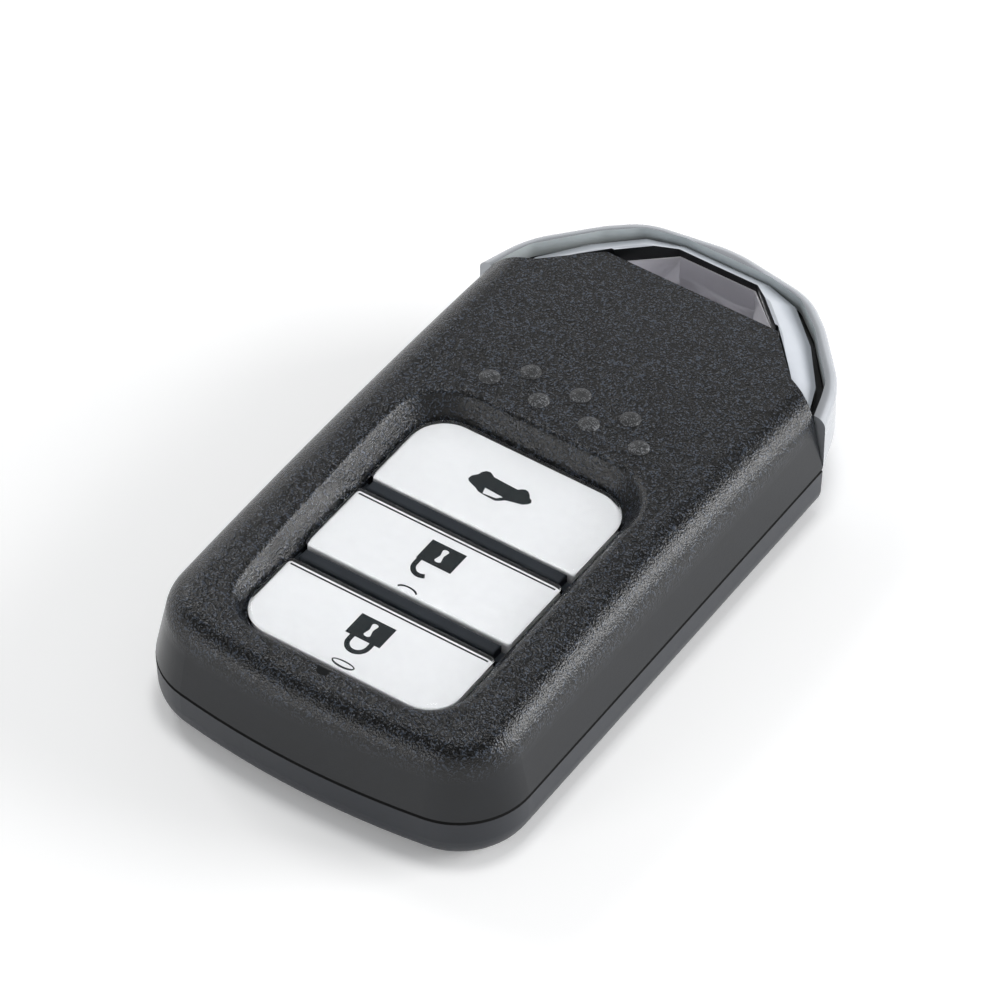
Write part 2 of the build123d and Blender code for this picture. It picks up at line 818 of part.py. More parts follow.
def blade_groove():
    """The winding track milled along the blade, as a flat outline."""
    run = blade_reach - 2 * blade_tip_chamfer
    step = run / (2 * blade_groove_waves)
    points = [(blade_x, blade_tip_y - overrun)]
    for number in range(2 * blade_groove_waves):
        swing = blade_groove_wave * (1 if number % 2 else -1)
        points.append((blade_x + swing, blade_tip_y + blade_tip_chamfer + step * number))
    return trace(FilletPolyline(*points, radius=blade_groove_width), blade_groove_width)


def key_blade():
    """The steel blade with a winding groove milled in each face and a hole for its pin."""
    groove = blade_groove()
    blade = blade_form() - post(blade_x, pin_y, pin_radius, blade_bottom, blade_top)
    blade = blade - prism(groove, blade_top - blade_groove_depth, blade_top)
    return blade - prism(groove, blade_bottom, blade_bottom + blade_groove_depth)


def release_slider():
    """The ridged slider on the back, with its plate, spring post and catch inside."""
    x = -slider_travel / 2
    pad = centred_block(x, slider_y, slider_length, slider_width, slider_face, slider_plate_bottom)
    pad = fillet(pad.edges().filter_by(Axis.Z), slider_edge_radius)
    for number in range(slider_ridges):
        ridge_x = x + (number - (slider_ridges - 1) / 2) * slider_length / (slider_ridges + 1)
        ridge_low = slider_face - slider_ridge_height
        width = slider_width - 2 * slider_edge_radius
        pad = pad + centred_block(ridge_x, slider_y, slider_ridge_width, width, ridge_low, slider_face)
    plate_length = slider_length + 2 * slider_plate_overhang
    plate_width = slider_width + 2 * slider_plate_overhang
    plate_high = slider_plate_bottom + slider_plate_thickness
    plate = centred_block(x, slider_y, plate_length, plate_width, slider_plate_bottom, plate_high)
    tongue_low, tongue_high = x - tongue_half_width, x + tongue_half_width
    tongue_end = tail_y + catch_length
    tongue = block(tongue_low, tongue_high, slider_y, tongue_end, slider_plate_bottom, catch_top)
    foot_x = spring_x - spring_post / 2
    foot = centred_block(foot_x, slider_y, spring_post, spring_post_width, slider_plate_bottom, spring_top)
    return pad + plate + tongue + foot


def release_spring():
    """A small coil that pushes the release slider back."""
    height = spring_length - 2 * spring_seat_gap - 2 * spring_wire_radius
    path = Helix(height / spring_turns, height, spring_radius)
    section = Plane(origin=path @ 0, z_dir=path % 0) * Circle(spring_wire_radius)
    wire = sweep(section, path=path, is_frenet=True)
    start = spring_x + spring_seat_gap + spring_wire_radius
    return Pos(start, slider_y, spring_z) * Rot(0, 90, 0) * wire


def fob():
    """Every piece of the fob by its node's name."""
    pieces = {
        "front_cover": front_cover(),
        "rear_cover": rear_cover(),
        "divider_bar_near": divider_bar("lock", "unlock"),
        "divider_bar_far": divider_bar("unlock", "boot"),
        "light_window": light_window(),
        "status_light": chip(0, light_window_y, light_length, light_width, light_height),
        "keypad_mat": keypad_mat(),
        "circuit_board": circuit_board(),
        "control_chip": chip(
            control_chip_x,
            bulkhead_near_y - control_chip_from_bulkhead,
            control_chip_size,
            control_chip_size,
            control_chip_height,
        ),
        "radio_chip": chip(
            radio_chip_x,
            bulkhead_near_y - radio_chip_from_bulkhead,
            radio_chip_size,
            radio_chip_size,
            radio_chip_height,
        ),
        "crystal": chip(
            crystal_x, bulkhead_near_y - crystal_from_bulkhead, crystal_length, crystal_width, crystal_height
        ),
        "capacitors": capacitors(),
        "aerial_core": aerial_core(),
        "aerial_winding": aerial_winding(),
        "inner_case": inner_case(),
        "gasket": gasket(),
        "coin_cell": coin_cell(),
        "battery_contact_positive": battery_contact(-1, cell_top),
        "battery_contact_negative": battery_contact(1, cell_bottom - contact_thickness),
        "battery_pad": post(
            cell_x, cell_y, pad_radius, floor_thickness, cell_bottom - contact_thickness
        ),
        "release_slider": release_slider(),
        "release_spring": release_spring(),
        "key_head_core": key_head_core(),
        "head_band": head_band(),
        "head_front_trim": head_trim(trim_edge_top, trim_peak, trim_slope),
        "head_rear_trim": head_trim(rear_trim_edge, rear_trim_low, rear_trim_slope),
        "window_sleeve": window_sleeve(),
        "key_blade": key_blade(),
        "blade_pin": post(blade_x, pin_y, pin_radius, core_bottom, core_top),
    }
    for name in buttons:
        pieces[name + "_cap"] = button_cap(name)
        pieces[name + "_carrier"] = button_carrier(name)
        pieces[name + "_plunger"] = switch_plunger(name)
        pieces[name + "_switch"] = switch_housing(name)
    return pieces


for node, piece in fob().items():
    export_step(piece, "parts/" + node + ".step")
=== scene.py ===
import logging
import math
from dataclasses import dataclass, field, replace
from enum import Enum
from typing import Iterable, Sequence

import bmesh
import bpy
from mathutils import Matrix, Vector


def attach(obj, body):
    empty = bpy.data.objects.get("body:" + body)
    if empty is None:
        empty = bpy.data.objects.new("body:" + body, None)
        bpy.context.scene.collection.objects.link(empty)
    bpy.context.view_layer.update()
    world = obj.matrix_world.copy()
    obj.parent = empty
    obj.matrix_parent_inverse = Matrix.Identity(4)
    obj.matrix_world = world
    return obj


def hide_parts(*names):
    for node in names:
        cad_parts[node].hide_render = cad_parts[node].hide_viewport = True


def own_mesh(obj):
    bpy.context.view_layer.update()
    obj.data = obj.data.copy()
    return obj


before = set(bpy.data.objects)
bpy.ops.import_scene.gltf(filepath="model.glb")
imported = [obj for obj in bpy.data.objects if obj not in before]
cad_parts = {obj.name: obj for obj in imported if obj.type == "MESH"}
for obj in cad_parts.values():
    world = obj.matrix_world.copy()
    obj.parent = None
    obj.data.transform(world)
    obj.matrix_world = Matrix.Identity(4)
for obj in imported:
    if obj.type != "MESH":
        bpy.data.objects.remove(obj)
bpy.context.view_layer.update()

LOG = logging.getLogger("fob")
MM = 0.001
BUTTON_NAMES = ("lock", "unlock", "boot")
Point = tuple[float, float]
Mesh = bmesh.types.BMesh
Tree = bpy.types.NodeTree
Socket = bpy.types.NodeSocket


def object_place(tree: Tree) -> Socket:
    """Gives a point's place on the fob in metres."""
    return tree.nodes.new("ShaderNodeTexCoord").outputs["Object"]


def upward_part(tree: Tree, vector: Socket) -> Socket:
    """Takes the upward part of a vector.

    Args:
        tree: The node tree.
        vector: The vector.

    Returns:
        Its Z part.
    """
    split = tree.nodes.new("ShaderNodeSeparateXYZ")
    tree.links.new(vector, split.inputs["Vector"])
    return split.outputs["Z"]


def add_math(tree: Tree, operation: str, first: Socket, second: Socket | float) -> Socket:
    """Adds a math node.

    Args:
        tree: The node tree.
        operation: What the node does with its values.
        first: The first value.
        second: The second value, from another node or a plain number.

    Returns:
        The node's result.
    """
    node = tree.nodes.new("ShaderNodeMath")
    node.operation = operation
    tree.links.new(first, node.inputs[0])
    if isinstance(second, Socket):
        tree.links.new(second, node.inputs[1])
    else:
        node.inputs[1].default_value = second
    return node.outputs["Value"]


def add_range(tree: Tree, value: Socket, given: Point, wanted: Point, smooth: bool = False) -> Socket:
    """Maps a value from one range to another and holds it at both ends.

    Args:
        tree: The node tree.
        value: The value to map.
        given: The range that the value has.
        wanted: The range of the result.
        smooth: Whether the change is eased at both ends.

    Returns:
        The mapped value.
    """
    node = tree.nodes.new("ShaderNodeMapRange")
    node.interpolation_type = "SMOOTHSTEP" if smooth else "LINEAR"
    for name, number in zip(("From Min", "From Max", "To Min", "To Max"), given + wanted):
        node.inputs[name].default_value = number
    tree.links.new(value, node.inputs["Value"])
    return node.outputs["Result"]


def highest_of(tree: Tree, values: Sequence[Socket]) -> Socket:
    """Picks the highest of several values.

    Args:
        tree: The node tree.
        values: The values.

    Returns:
        The highest.
    """
    highest = values[0]
    for value in values[1:]:
        highest = add_math(tree, "MAXIMUM", highest, value)
    return highest


def seen_directly(tree: Tree) -> Socket:
    """Gives 1 where the camera sees something itself, in a reflection or through clear plastic."""
    path = tree.nodes.new("ShaderNodeLightPath")
    return highest_of(tree, [path.outputs[f"Is {ray} Ray"] for ray in ("Camera", "Glossy", "Transmission")])


class Grain(Enum):
    """How a finish's surface is broken up."""

    PEBBLE = "pebble"
    SATIN = "satin"
    BRUSHED = "brushed"
    GLOSS = "gloss"


@dataclass(frozen=True)
class GrainRecipe:
    """What the grain of every finish shares.

    Args:
        cloud_grains: Size of a patch of drifting tone, in grains.
        cloud_detail: Detail of the drifting tone.
        drift_span: Part of the noise's range over which the tone drifts.
        smoothest: The lowest roughness.
        crest_span: Noise levels at which the painted shade of a hollow ends and the painted highlight of a
            crest is full.
        seam_shade_colour: Near-black painted shade for the seam between the covers.
        brush_stretch: How brush marks are drawn out.
        brush_detail: Detail of the brush marks.
        satin_detail: Detail of a satin or glossy surface.
        side_share: How much of the coarse grain the side walls keep.
        coarse_scale: Density of the coarser pebbles.
        fine_scale: Density of the finer pebbles.
        fine_share: Share of the finer pebbles in the whole.
        pebble_detail: Detail of the pebbles.
    """

    cloud_grains: float = 9.0
    cloud_detail: float = 4.0
    drift_span: Point = (0.3, 0.7)
    smoothest: float = 0.01
    crest_span: Point = (0.52, 0.62)
    seam_shade_colour: tuple[float, ...] = (0.002, 0.002, 0.002, 1)
    brush_stretch: tuple[float, ...] = (1.0, 0.04, 1.0)
    brush_detail: float = 2.0
    satin_detail: float = 3.0
    side_share: float = 0.05
    coarse_scale: float = 0.55
    fine_scale: float = 1.3
    fine_share: float = 0.66
    pebble_detail: float = 1.0


GRAIN = GrainRecipe()


@dataclass(frozen=True)
class Finish:
    """One procedural material.

    Args:
        name: The material's name.
        colour: Linear base colour.
        roughness: Mean roughness.
        metallic: 1 for bare metal, 0 for plastic.
        transmission: 1 for clear plastic.
        grain: The kind of surface relief.
        grain_mm: Size of the relief's features in millimetres.
        relief_mm: Depth of the relief in millimetres.
        spread: How much colour and roughness vary over the surface.
        specular: Strength of the reflection of a plastic.
        grain_above_mm: Heights at which the coarse grain starts and is full.
        seam_shade_mm: Height and half width of the seam line, where shade is painted near black.
        crest_painted_light: How much darker the grain's hollows (painted shade) and paler its crests
            (painted highlight) are than the colour.
        ior: Index of refraction.
    """

    name: str
    colour: tuple[float, float, float]
    roughness: float
    metallic: float = 0.0
    transmission: float = 0.0
    grain: Grain = Grain.SATIN
    grain_mm: float = 0.2
    relief_mm: float = 0.004
    spread: float = 0.1
    specular: float = 0.5
    grain_above_mm: Point | None = None
    seam_shade_mm: Point | None = None
    crest_painted_light: Point | None = None
    ior: float = 1.49

    def build(self) -> bpy.types.Material:
        """Makes the node tree of this finish.

        Returns:
            The new material.
        """
        material = bpy.data.materials.new(self.name)
        material.use_nodes = True
        tree = material.node_tree
        shader = tree.nodes["Principled BSDF"]
        shader.inputs["Metallic"].default_value = self.metallic
        shader.inputs["Transmission Weight"].default_value = self.transmission
        shader.inputs["Specular IOR Level"].default_value = self.specular
        shader.inputs["IOR"].default_value = self.ior
        cloud = self._noise(tree, 1 / GRAIN.cloud_grains, GRAIN.cloud_detail)
        tree.links.new(self._tone(tree, cloud), shader.inputs["Base Color"])
        tree.links.new(self._dullness(tree, cloud), shader.inputs["Roughness"])
        tree.links.new(self._relief(tree), shader.inputs["Normal"])
        return material

    def _noise(self, tree: Tree, density: float, detail: float, brushed: bool = False) -> Socket:
        """Adds a noise over the surface.

        Args:
            tree: The material's node tree.
            density: How dense the noise is beside the finish's own grain.
            detail: How much fine detail it has.
            brushed: Whether it is drawn out along the fob.

        Returns:
            The noise, from 0 to 1.
        """
        noise = tree.nodes.new("ShaderNodeTexNoise")
        noise.inputs["Scale"].default_value = density / (self.grain_mm * MM)
        noise.inputs["Detail"].default_value = detail
        place = object_place(tree)
        if brushed:
            mapping = tree.nodes.new("ShaderNodeMapping")
            mapping.inputs["Scale"].default_value = GRAIN.brush_stretch
            tree.links.new(place, mapping.inputs["Vector"])
            place = mapping.outputs["Vector"]
        tree.links.new(place, noise.inputs["Vector"])
        return noise.outputs["Fac"]

    def _pebbles(self, tree: Tree) -> Socket:
        """Adds fine pebbles over coarser ones.

        Args:
            tree: The material's node tree.

        Returns:
            Their height, from 0 to 1.
        """
        total = tree.nodes.new("ShaderNodeMix")
        total.inputs["Factor"].default_value = GRAIN.fine_share
        for name, density in (("A", GRAIN.coarse_scale), ("B", GRAIN.fine_scale)):
            tree.links.new(self._noise(tree, density, GRAIN.pebble_detail), total.inputs[name])
        return total.outputs["Result"]

    def _tone(self, tree: Tree, cloud: Socket) -> Socket:
        """Lets the colour drift, paints highlights on the grain's crests and shade in its hollows, and
        paints shade in the seam.

        Args:
            tree: The material's node tree.
            cloud: The noise that the colour drifts with.

        Returns:
            The colour.
        """
        ramp = tree.nodes.new("ShaderNodeValToRGB")
        for stop, position, side in zip(ramp.color_ramp.elements, GRAIN.drift_span, (-1, 1)):
            stop.position = position
            stop.color = (*(min(1.0, channel * (1 + side * self.spread)) for channel in self.colour), 1)
        tree.links.new(cloud, ramp.inputs["Fac"])
        colour = ramp.outputs["Color"]
        # Painted highlights on the grain's crests and painted shade in its hollows.
        if self.crest_painted_light:
            colour = self._paint_crest_light(tree, colour)
        # Painted shade in the seam between the covers.
        if self.seam_shade_mm:
            colour = self._paint_seam_shade(tree, colour)
        return colour

    def _dullness(self, tree: Tree, cloud: Socket) -> Socket:
        """Lets the roughness drift and makes the seam's painted shade fully rough.

        Args:
            tree: The material's node tree.
            cloud: The noise that the roughness drifts with.

        Returns:
            The roughness.
        """
        low = max(GRAIN.smoothest, self.roughness * (1 - self.spread))
        high = min(1.0, self.roughness * (1 + self.spread))
        roughness = add_range(tree, cloud, (0.0, 1.0), (low, high))
        # The seam's painted shade is made fully rough.
        if self.seam_shade_mm:
            roughness = add_math(tree, "MAXIMUM", roughness, self._in_seam_shade(tree))
        return roughness

    def _relief(self, tree: Tree) -> Socket:
        """Adds the grain as a bump.

        Args:
            tree: The material's node tree.

        Returns:
            The surface's normal.
        """
        if self.grain is Grain.PEBBLE:
            height = self._pebbles(tree)
        elif self.grain is Grain.BRUSHED:
            height = self._noise(tree, 1.0, GRAIN.brush_detail, brushed=True)
        else:
            height = self._noise(tree, 1.0, GRAIN.satin_detail)
        if self.grain_above_mm:
            height = add_math(tree, "MULTIPLY", height, self._grain_share(tree))
        bump = tree.nodes.new("ShaderNodeBump")
        bump.inputs["Distance"].default_value = self.relief_mm * MM
        tree.links.new(height, bump.inputs["Height"])
        return bump.outputs["Normal"]

    def _grain_share(self, tree: Tree) -> Socket:
        """Fades the grain: little on the side walls and all on the top.

        Args:
            tree: The material's node tree.

        Returns:
            The grain's share, up to 1.
        """
        start, full = self.grain_above_mm
        height = upward_part(tree, object_place(tree))
        return add_range(tree, height, (start * MM, full * MM), (GRAIN.side_share, 1.0))

    def _paint_crest_light(self, tree: Tree, colour: Socket) -> Socket:
        """Paints highlights on the grain's crests and shade in its hollows.

        Args:
            tree: The material's node tree.
            colour: The plain colour.

        Returns:
            The colour with its painted highlights and shade.
        """
        even = tree.nodes.new("ShaderNodeMix")
        even.inputs["A"].default_value = 1.0
        tree.links.new(self._grain_share(tree), even.inputs["Factor"])
        tone = add_range(tree, self._pebbles(tree), GRAIN.crest_span, self.crest_painted_light)
        tree.links.new(tone, even.inputs["B"])
        scaled = tree.nodes.new("ShaderNodeVectorMath")
        scaled.operation = "SCALE"
        tree.links.new(colour, scaled.inputs["Vector"])
        tree.links.new(even.outputs["Result"], scaled.inputs["Scale"])
        return scaled.outputs["Vector"]

    def _in_seam_shade(self, tree: Tree) -> Socket:
        """Marks the joint between the covers, where shade is painted.

        Args:
            tree: The material's node tree.

        Returns:
            1 on the joint and 0 elsewhere.
        """
        middle, half = self.seam_shade_mm
        mask = add_math(tree, "COMPARE", upward_part(tree, object_place(tree)), middle * MM)
        mask.node.inputs[2].default_value = half * MM
        return mask

    def _paint_seam_shade(self, tree: Tree, colour: Socket) -> Socket:
        """Paints shade, nearly black, into the joint between the covers.

        Args:
            tree: The material's node tree.
            colour: The colour beside the joint.

        Returns:
            The colour with the joint in it.
        """
        mix = tree.nodes.new("ShaderNodeMix")
        mix.data_type = "RGBA"
        mix.inputs["B"].default_value = GRAIN.seam_shade_colour
        tree.links.new(self._in_seam_shade(tree), mix.inputs["Factor"])
        tree.links.new(colour, mix.inputs["A"])
        return mix.outputs["Result"]


class Palette:
    """Every finish of the fob, built once and reached by name."""

    # Height and half width of the seam where both covers get painted shade.
    SEAM_SHADE = (5.5, 0.17)
    FINISHES = (
        Finish("textured_shell", (0.0058, 0.0072, 0.0098), 0.24, grain=Grain.PEBBLE, grain_mm=0.22,
               relief_mm=0.12, spread=0.15, specular=0.42, grain_above_mm=(9.6, 11.4), seam_shade_mm=SEAM_SHADE,
               crest_painted_light=(0.1, 7.5)),
        # Paler shell for the finger bumps: a painted highlight on their tops.
        Finish("bump_highlight_shell", (0.04, 0.042, 0.045), 0.4, grain=Grain.PEBBLE, grain_mm=0.17,
               relief_mm=0.1, spread=0.2, specular=0.45, crest_painted_light=(0.4, 4.0),
               grain_above_mm=(9.2, 10.8)),
        Finish("satin_shell", (0.0085, 0.0115, 0.018), 0.4, grain_mm=0.12, relief_mm=0.012,
               specular=0.45, seam_shade_mm=SEAM_SHADE),
        Finish("bar", (0.018, 0.023, 0.03), 0.36, grain_mm=0.3, relief_mm=0.002, specular=0.4),
        Finish("clear", (0.97, 0.98, 0.985), 0.05, transmission=1.0, grain=Grain.GLOSS, grain_mm=1.5,
               relief_mm=0.003, spread=0.01, ior=1.25),
        Finish("pearl", (0.755, 0.755, 0.765), 0.42, grain_mm=0.1, relief_mm=0.003, spread=0.02),
        # Dark print, also used for the painted reflection line inside the caps' far edges.
        Finish("print", (0.003, 0.007, 0.009), 0.5, grain_mm=0.1, relief_mm=0.002, spread=0.15,
               specular=0.1),
        Finish("bright", (0.47, 0.49, 0.52), 0.22, metallic=0.5, grain_mm=0.25, relief_mm=0.001,
               spread=0.03),
        # Lighter, partly diffuse copies of the bright chrome, whose colour is a painted reflection.
        Finish("bright_face_painted_reflection", (0.6, 0.63, 0.68), 0.27, metallic=0.3, grain_mm=0.25, relief_mm=0.001,
               spread=0.03),
        Finish("bright_inner_painted_reflection", (0.6, 0.645, 0.65), 0.35, grain_mm=0.2, relief_mm=0.002, spread=0.05),
        Finish("bright_window_painted_reflection", (0.86, 0.85, 0.89), 0.14, metallic=0.45, grain_mm=1.6, relief_mm=0.06,
               spread=0.08),
        # Black of the key head's core, also painted on upright chrome walls as shade.
        Finish("black_core_and_painted_shade", (0.008, 0.009, 0.01), 0.3, grain=Grain.GLOSS, grain_mm=0.6,
               relief_mm=0.003, specular=0.3),
        Finish("steel", (0.55, 0.55, 0.54), 0.32, metallic=1.0, grain=Grain.BRUSHED, grain_mm=0.05,
               relief_mm=0.006, spread=0.15),
        Finish("nickel", (0.62, 0.6, 0.56), 0.28, metallic=1.0, grain_mm=0.1, relief_mm=0.003,
               spread=0.12),
        Finish("copper", (0.55, 0.22, 0.09), 0.3, metallic=1.0, grain=Grain.BRUSHED, grain_mm=0.12,
               relief_mm=0.02, spread=0.15),
        Finish("laminate", (0.015, 0.12, 0.045), 0.35, grain_mm=0.15, spread=0.25),
        Finish("chip", (0.014, 0.014, 0.016), 0.5, grain_mm=0.08, relief_mm=0.005, spread=0.15),
        Finish("ceramic", (0.42, 0.3, 0.18), 0.5, grain_mm=0.08, spread=0.15),
        Finish("rubber", (0.03, 0.03, 0.032), 0.7, grain_mm=0.2, relief_mm=0.012, spread=0.15),
        Finish("seal", (0.22, 0.06, 0.04), 0.6, grain_mm=0.2, relief_mm=0.01, spread=0.15),
        Finish("foam", (0.03, 0.03, 0.032), 0.9, grain=Grain.PEBBLE, grain_mm=0.25, relief_mm=0.08,
               spread=0.25),
        Finish("inner_plastic", (0.02, 0.021, 0.023), 0.45, grain_mm=0.15, relief_mm=0.006,
               spread=0.12),
        Finish("switch", (0.22, 0.22, 0.21), 0.5, grain_mm=0.1),
        Finish("light", (0.3, 0.03, 0.02), 0.2, grain=Grain.GLOSS, grain_mm=0.3, relief_mm=0.002),
        Finish("smoked", (0.01, 0.011, 0.012), 0.15, grain=Grain.GLOSS, grain_mm=0.6,
               relief_mm=0.002),
    )

    def __init__(self) -> None:
        """Builds every finish."""
        self._materials = {finish.name: finish.build() for finish in self.FINISHES}

    def __getitem__(self, name: str) -> bpy.types.Material:
        """Returns the material of one finish."""
        return self._materials[name]


@dataclass(frozen=True)
class Place:
    """What a piece belongs to: its moving body and its slot in the record."""

    body: str
    slot: str


def add_piece(name: str, mesh: Mesh, materials: Sequence[bpy.types.Material], place: Place,
              sharp_angle: float = 35.0) -> bpy.types.Object:
    """Turns a mesh in millimetres into a named piece of the fob.

    Args:
        name: The piece's name.
        mesh: The working mesh, which is freed.
        materials: Its materials, by the index that its faces give.
        place: Its body and slot; the slot is not used.
        sharp_angle: Edges sharper than this many degrees stay sharp.

    Returns:
        The new object.
    """
    bmesh.ops.recalc_face_normals(mesh, faces=mesh.faces)
    bmesh.ops.scale(mesh, vec=(MM, MM, MM), verts=mesh.verts)
    for face in mesh.faces:
        face.smooth = True
    for edge in mesh.edges:
        if len(edge.link_faces) == 2 and edge.calc_face_angle() > math.radians(sharp_angle):
            edge.smooth = False
    data = bpy.data.meshes.new(name)
    mesh.to_mesh(data)
    mesh.free()
    for material in materials:
        data.materials.append(material)
    piece = bpy.data.objects.new(name, data)
    bpy.context.scene.collection.objects.link(piece)
    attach(piece, place.body)
    LOG.info("%s: %d faces on %s", name, len(data.polygons), place.body)
    return piece


def merged_copy(node: str, merge_mm: float = 0.002) -> Mesh:
    """Copies a CAD node's mesh with its loose triangles joined.

    Args:
        node: The node's name.
        merge_mm: Points closer than this are joined.

    Returns:
        The working mesh in millimetres.
    """
    mesh = bmesh.new()
    mesh.from_mesh(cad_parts[node].data)
    bmesh.ops.scale(mesh, vec=(1 / MM,) * 3, verts=mesh.verts)
    bmesh.ops.remove_doubles(mesh, verts=mesh.verts, dist=merge_mm)
    return mesh


def loop_edges(mesh: Mesh, points: Sequence[Point], z: float) -> list[bmesh.types.BMEdge]:
    """Adds a closed loop of edges at a height and returns them."""
    verts = [mesh.verts.new((x, y, z)) for x, y in points]
    return [mesh.edges.new((verts[i - 1], verts[i])) for i in range(len(verts))]


def skin_loops(mesh: Mesh, loops: Sequence[list[bmesh.types.BMEdge]]) -> None:
    """Bridges loops in their order and closes both ends.

    Args:
        mesh: The working mesh.
        loops: Each loop's edges, from one end to the other.
    """
    for before, after in zip(loops, loops[1:]):
        bmesh.ops.bridge_loops(mesh, edges=before + after)
    for end in (loops[0], loops[-1]):
        bmesh.ops.contextual_create(mesh, geom=end)


def raise_flat(loops: Iterable[Sequence[Point]], low: float, high: float) -> Mesh:
    """Makes a plate from an outline and its holes.

    Args:
        loops: The outline first, then any holes.
        low: The plate's lower face.
        high: The plate's upper face.

    Returns:
        A closed mesh in millimetres.
    """
    mesh = bmesh.new()
    edges = [edge for points in loops for edge in loop_edges(mesh, points, low)]
    bmesh.ops.triangle_fill(mesh, use_beauty=True, use_dissolve=True, edges=edges)
    grown = bmesh.ops.extrude_face_region(mesh, geom=list(mesh.faces), use_keep_orig=True)
    moved = [item for item in grown["geom"] if isinstance(item, bmesh.types.BMVert)]
    bmesh.ops.translate(mesh, vec=(0, 0, high - low), verts=moved)
    return mesh


def join_meshes(whole: Mesh, part: Mesh) -> None:
    """Adds one working mesh to another.

    Args:
        whole: The mesh that grows.
        part: The mesh that is added, which is freed.
    """
    data = bpy.data.meshes.new("part")
    part.to_mesh(data)
    part.free()
    whole.from_mesh(data)
    bpy.data.meshes.remove(data)


def arc(cx: float, cy: float, radius: float, start: float, end: float, steps: int) -> list[Point]:
    """Makes an arc about a middle point.

    Args:
        cx: The middle across the fob.
        cy: The middle along the fob.
        radius: The arc's radius.
        start: Its first angle in degrees.
        end: Its last angle in degrees.
        steps: How many steps it has.

    Returns:
        Its points in order, one more than the steps.
    """
    turn = (end - start) / steps
    angles = [math.radians(start + turn * i) for i in range(steps + 1)]
    return [(cx + radius * math.cos(angle), cy + radius * math.sin(angle)) for angle in angles]


def ring(cx: float, cy: float, radius: float, sides: int) -> list[Point]:
    """Gives evenly spaced points round a whole circle."""
    return arc(cx, cy, radius, 0, 360, sides)[:-1]


def stroke(path: Sequence[Point], width: float) -> list[Point]:
    """Gives the outline of a line along a path.

    Args:
        path: The line's middle.
        width: The line's width.

    Returns:
        The outline's points in order.
    """
    left, right = [], []
    for i, point in enumerate(path):
        before = Vector(path[max(i - 1, 0)])
        after = Vector(path[min(i + 1, len(path) - 1)])
        along = (after - before).normalized()
        across = Vector((-along.y, along.x)) * width / 2
        left.append(tuple(Vector(point) + across))
        right.append(tuple(Vector(point) - across))
    return left + right[::-1]


@dataclass
class ButtonSize:
    """One button's place and size in millimetres, along the fob from its middle."""

    name: str
    near: float
    far: float
    near_radius: float
    far_radius: float
    half_width: float = 10.95
    fullness: float = 0.09
    least_radius: float = 0.15
    corner_steps: int = 10

    def outline(self, margin: float) -> list[Point]:
        """Gives the button's rounded outline.

        Args:
            margin: How much the outline is grown.

        Returns:
            The outline's points in order.
        """
        grown = margin + self.fullness
        x = self.half_width + grown
        near, far = self.near - grown, self.far + grown
        near_radius = max(self.near_radius + grown, self.least_radius)
        far_radius = max(self.far_radius + grown, self.least_radius)
        corners = ((x - near_radius, near + near_radius, near_radius, -90),
                   (x - far_radius, far - far_radius, far_radius, 0),
                   (-x + far_radius, far - far_radius, far_radius, 90),
                   (-x + near_radius, near + near_radius, near_radius, 180))
        return [point for cx, cy, radius, start in corners
                for point in arc(cx, cy, radius, start, start + 90, self.corner_steps)]


def stack_rings(size: ButtonSize, levels: Sequence[Point]) -> Mesh:
    """Joins rings of a button's outline into one closed skin.

    Args:
        size: The button.
        levels: Margin and height of each ring, from end to end.

    Returns:
        The working mesh in millimetres.
    """
    mesh = bmesh.new()
    skin_loops(mesh, [loop_edges(mesh, size.outline(margin), height) for margin, height in levels])
    return mesh


@dataclass
class ButtonCap:
    """A clear cap over its painted body, in place of the CAD part's plain cap and carrier."""

    size: ButtonSize
    wall: float = 0.12
    top: float = 12.14
    pocket_top: float = 11.7
    flange: float = 0.31
    flange_low: float = 9.95
    flange_high: float = 10.25
    edge_radius: float = 0.5
    rounding_steps: int = 5
    paint_gap: float = 0.03
    paint_radius: float = 0.34
    clear_lip: float = 0.1

    def _rounding(self, margin: float, top: float, radius: float) -> list[Point]:
        """Rounds an upper edge.

        Args:
            margin: The side's margin.
            top: Height of the top.
            radius: The rounding's radius.

        Returns:
            Margin and height of each ring, upwards.
        """
        steps = self.rounding_steps
        angles = [math.radians(90 * step / steps) for step in range(steps + 1)]
        return [(margin - radius * (1 - math.cos(angle)), top - radius * (1 - math.sin(angle)))
                for angle in angles]

    def cap_levels(self) -> list[Point]:
        """Lists the clear cap's rings from the pocket's roof, round the flange, to the top.

        Returns:
            Margin and height of each ring.
        """
        rings = [(-self.wall, self.pocket_top), (-self.wall, self.flange_low),
                 (self.flange, self.flange_low), (self.flange, self.flange_high), (0.0, self.flange_high)]
        return rings + self._rounding(0.0, self.top, self.edge_radius)

    def body_levels(self) -> list[Point]:
        """Margin and height of each ring of the painted body."""
        side = -self.wall - self.paint_gap
        return [(side, self.flange_low)] + self._rounding(side, self.paint_top(), self.paint_radius)

    def paint_top(self) -> float:
        """Height of the painted face."""
        return self.pocket_top - self.paint_gap

    def build(self, palette: Palette) -> None:
        """Makes the clear cap and the painted body.

        Args:
            palette: Every finish.
        """
        button = f"{self.size.name}_button"
        cap = add_piece(f"{self.size.name}_cap_clear", stack_rings(self.size, self.cap_levels()),
                        [palette["clear"]], Place(button, "clear_plastic"))
        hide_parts(f"{self.size.name}_cap")
        painted = replace(self.size, far=self.size.far - self.clear_lip)
        body = add_piece(f"{self.size.name}_cap_paint", stack_rings(painted, self.body_levels()),
                         [palette["pearl"]], Place(button, "carrier_paint"))
        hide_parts(f"{self.size.name}_carrier")


class Sign(Enum):
    """The sign printed on a button."""

    CLOSED_PADLOCK = "closed_padlock"
    OPEN_PADLOCK = "open_padlock"
    OPEN_BOOT = "open_boot"


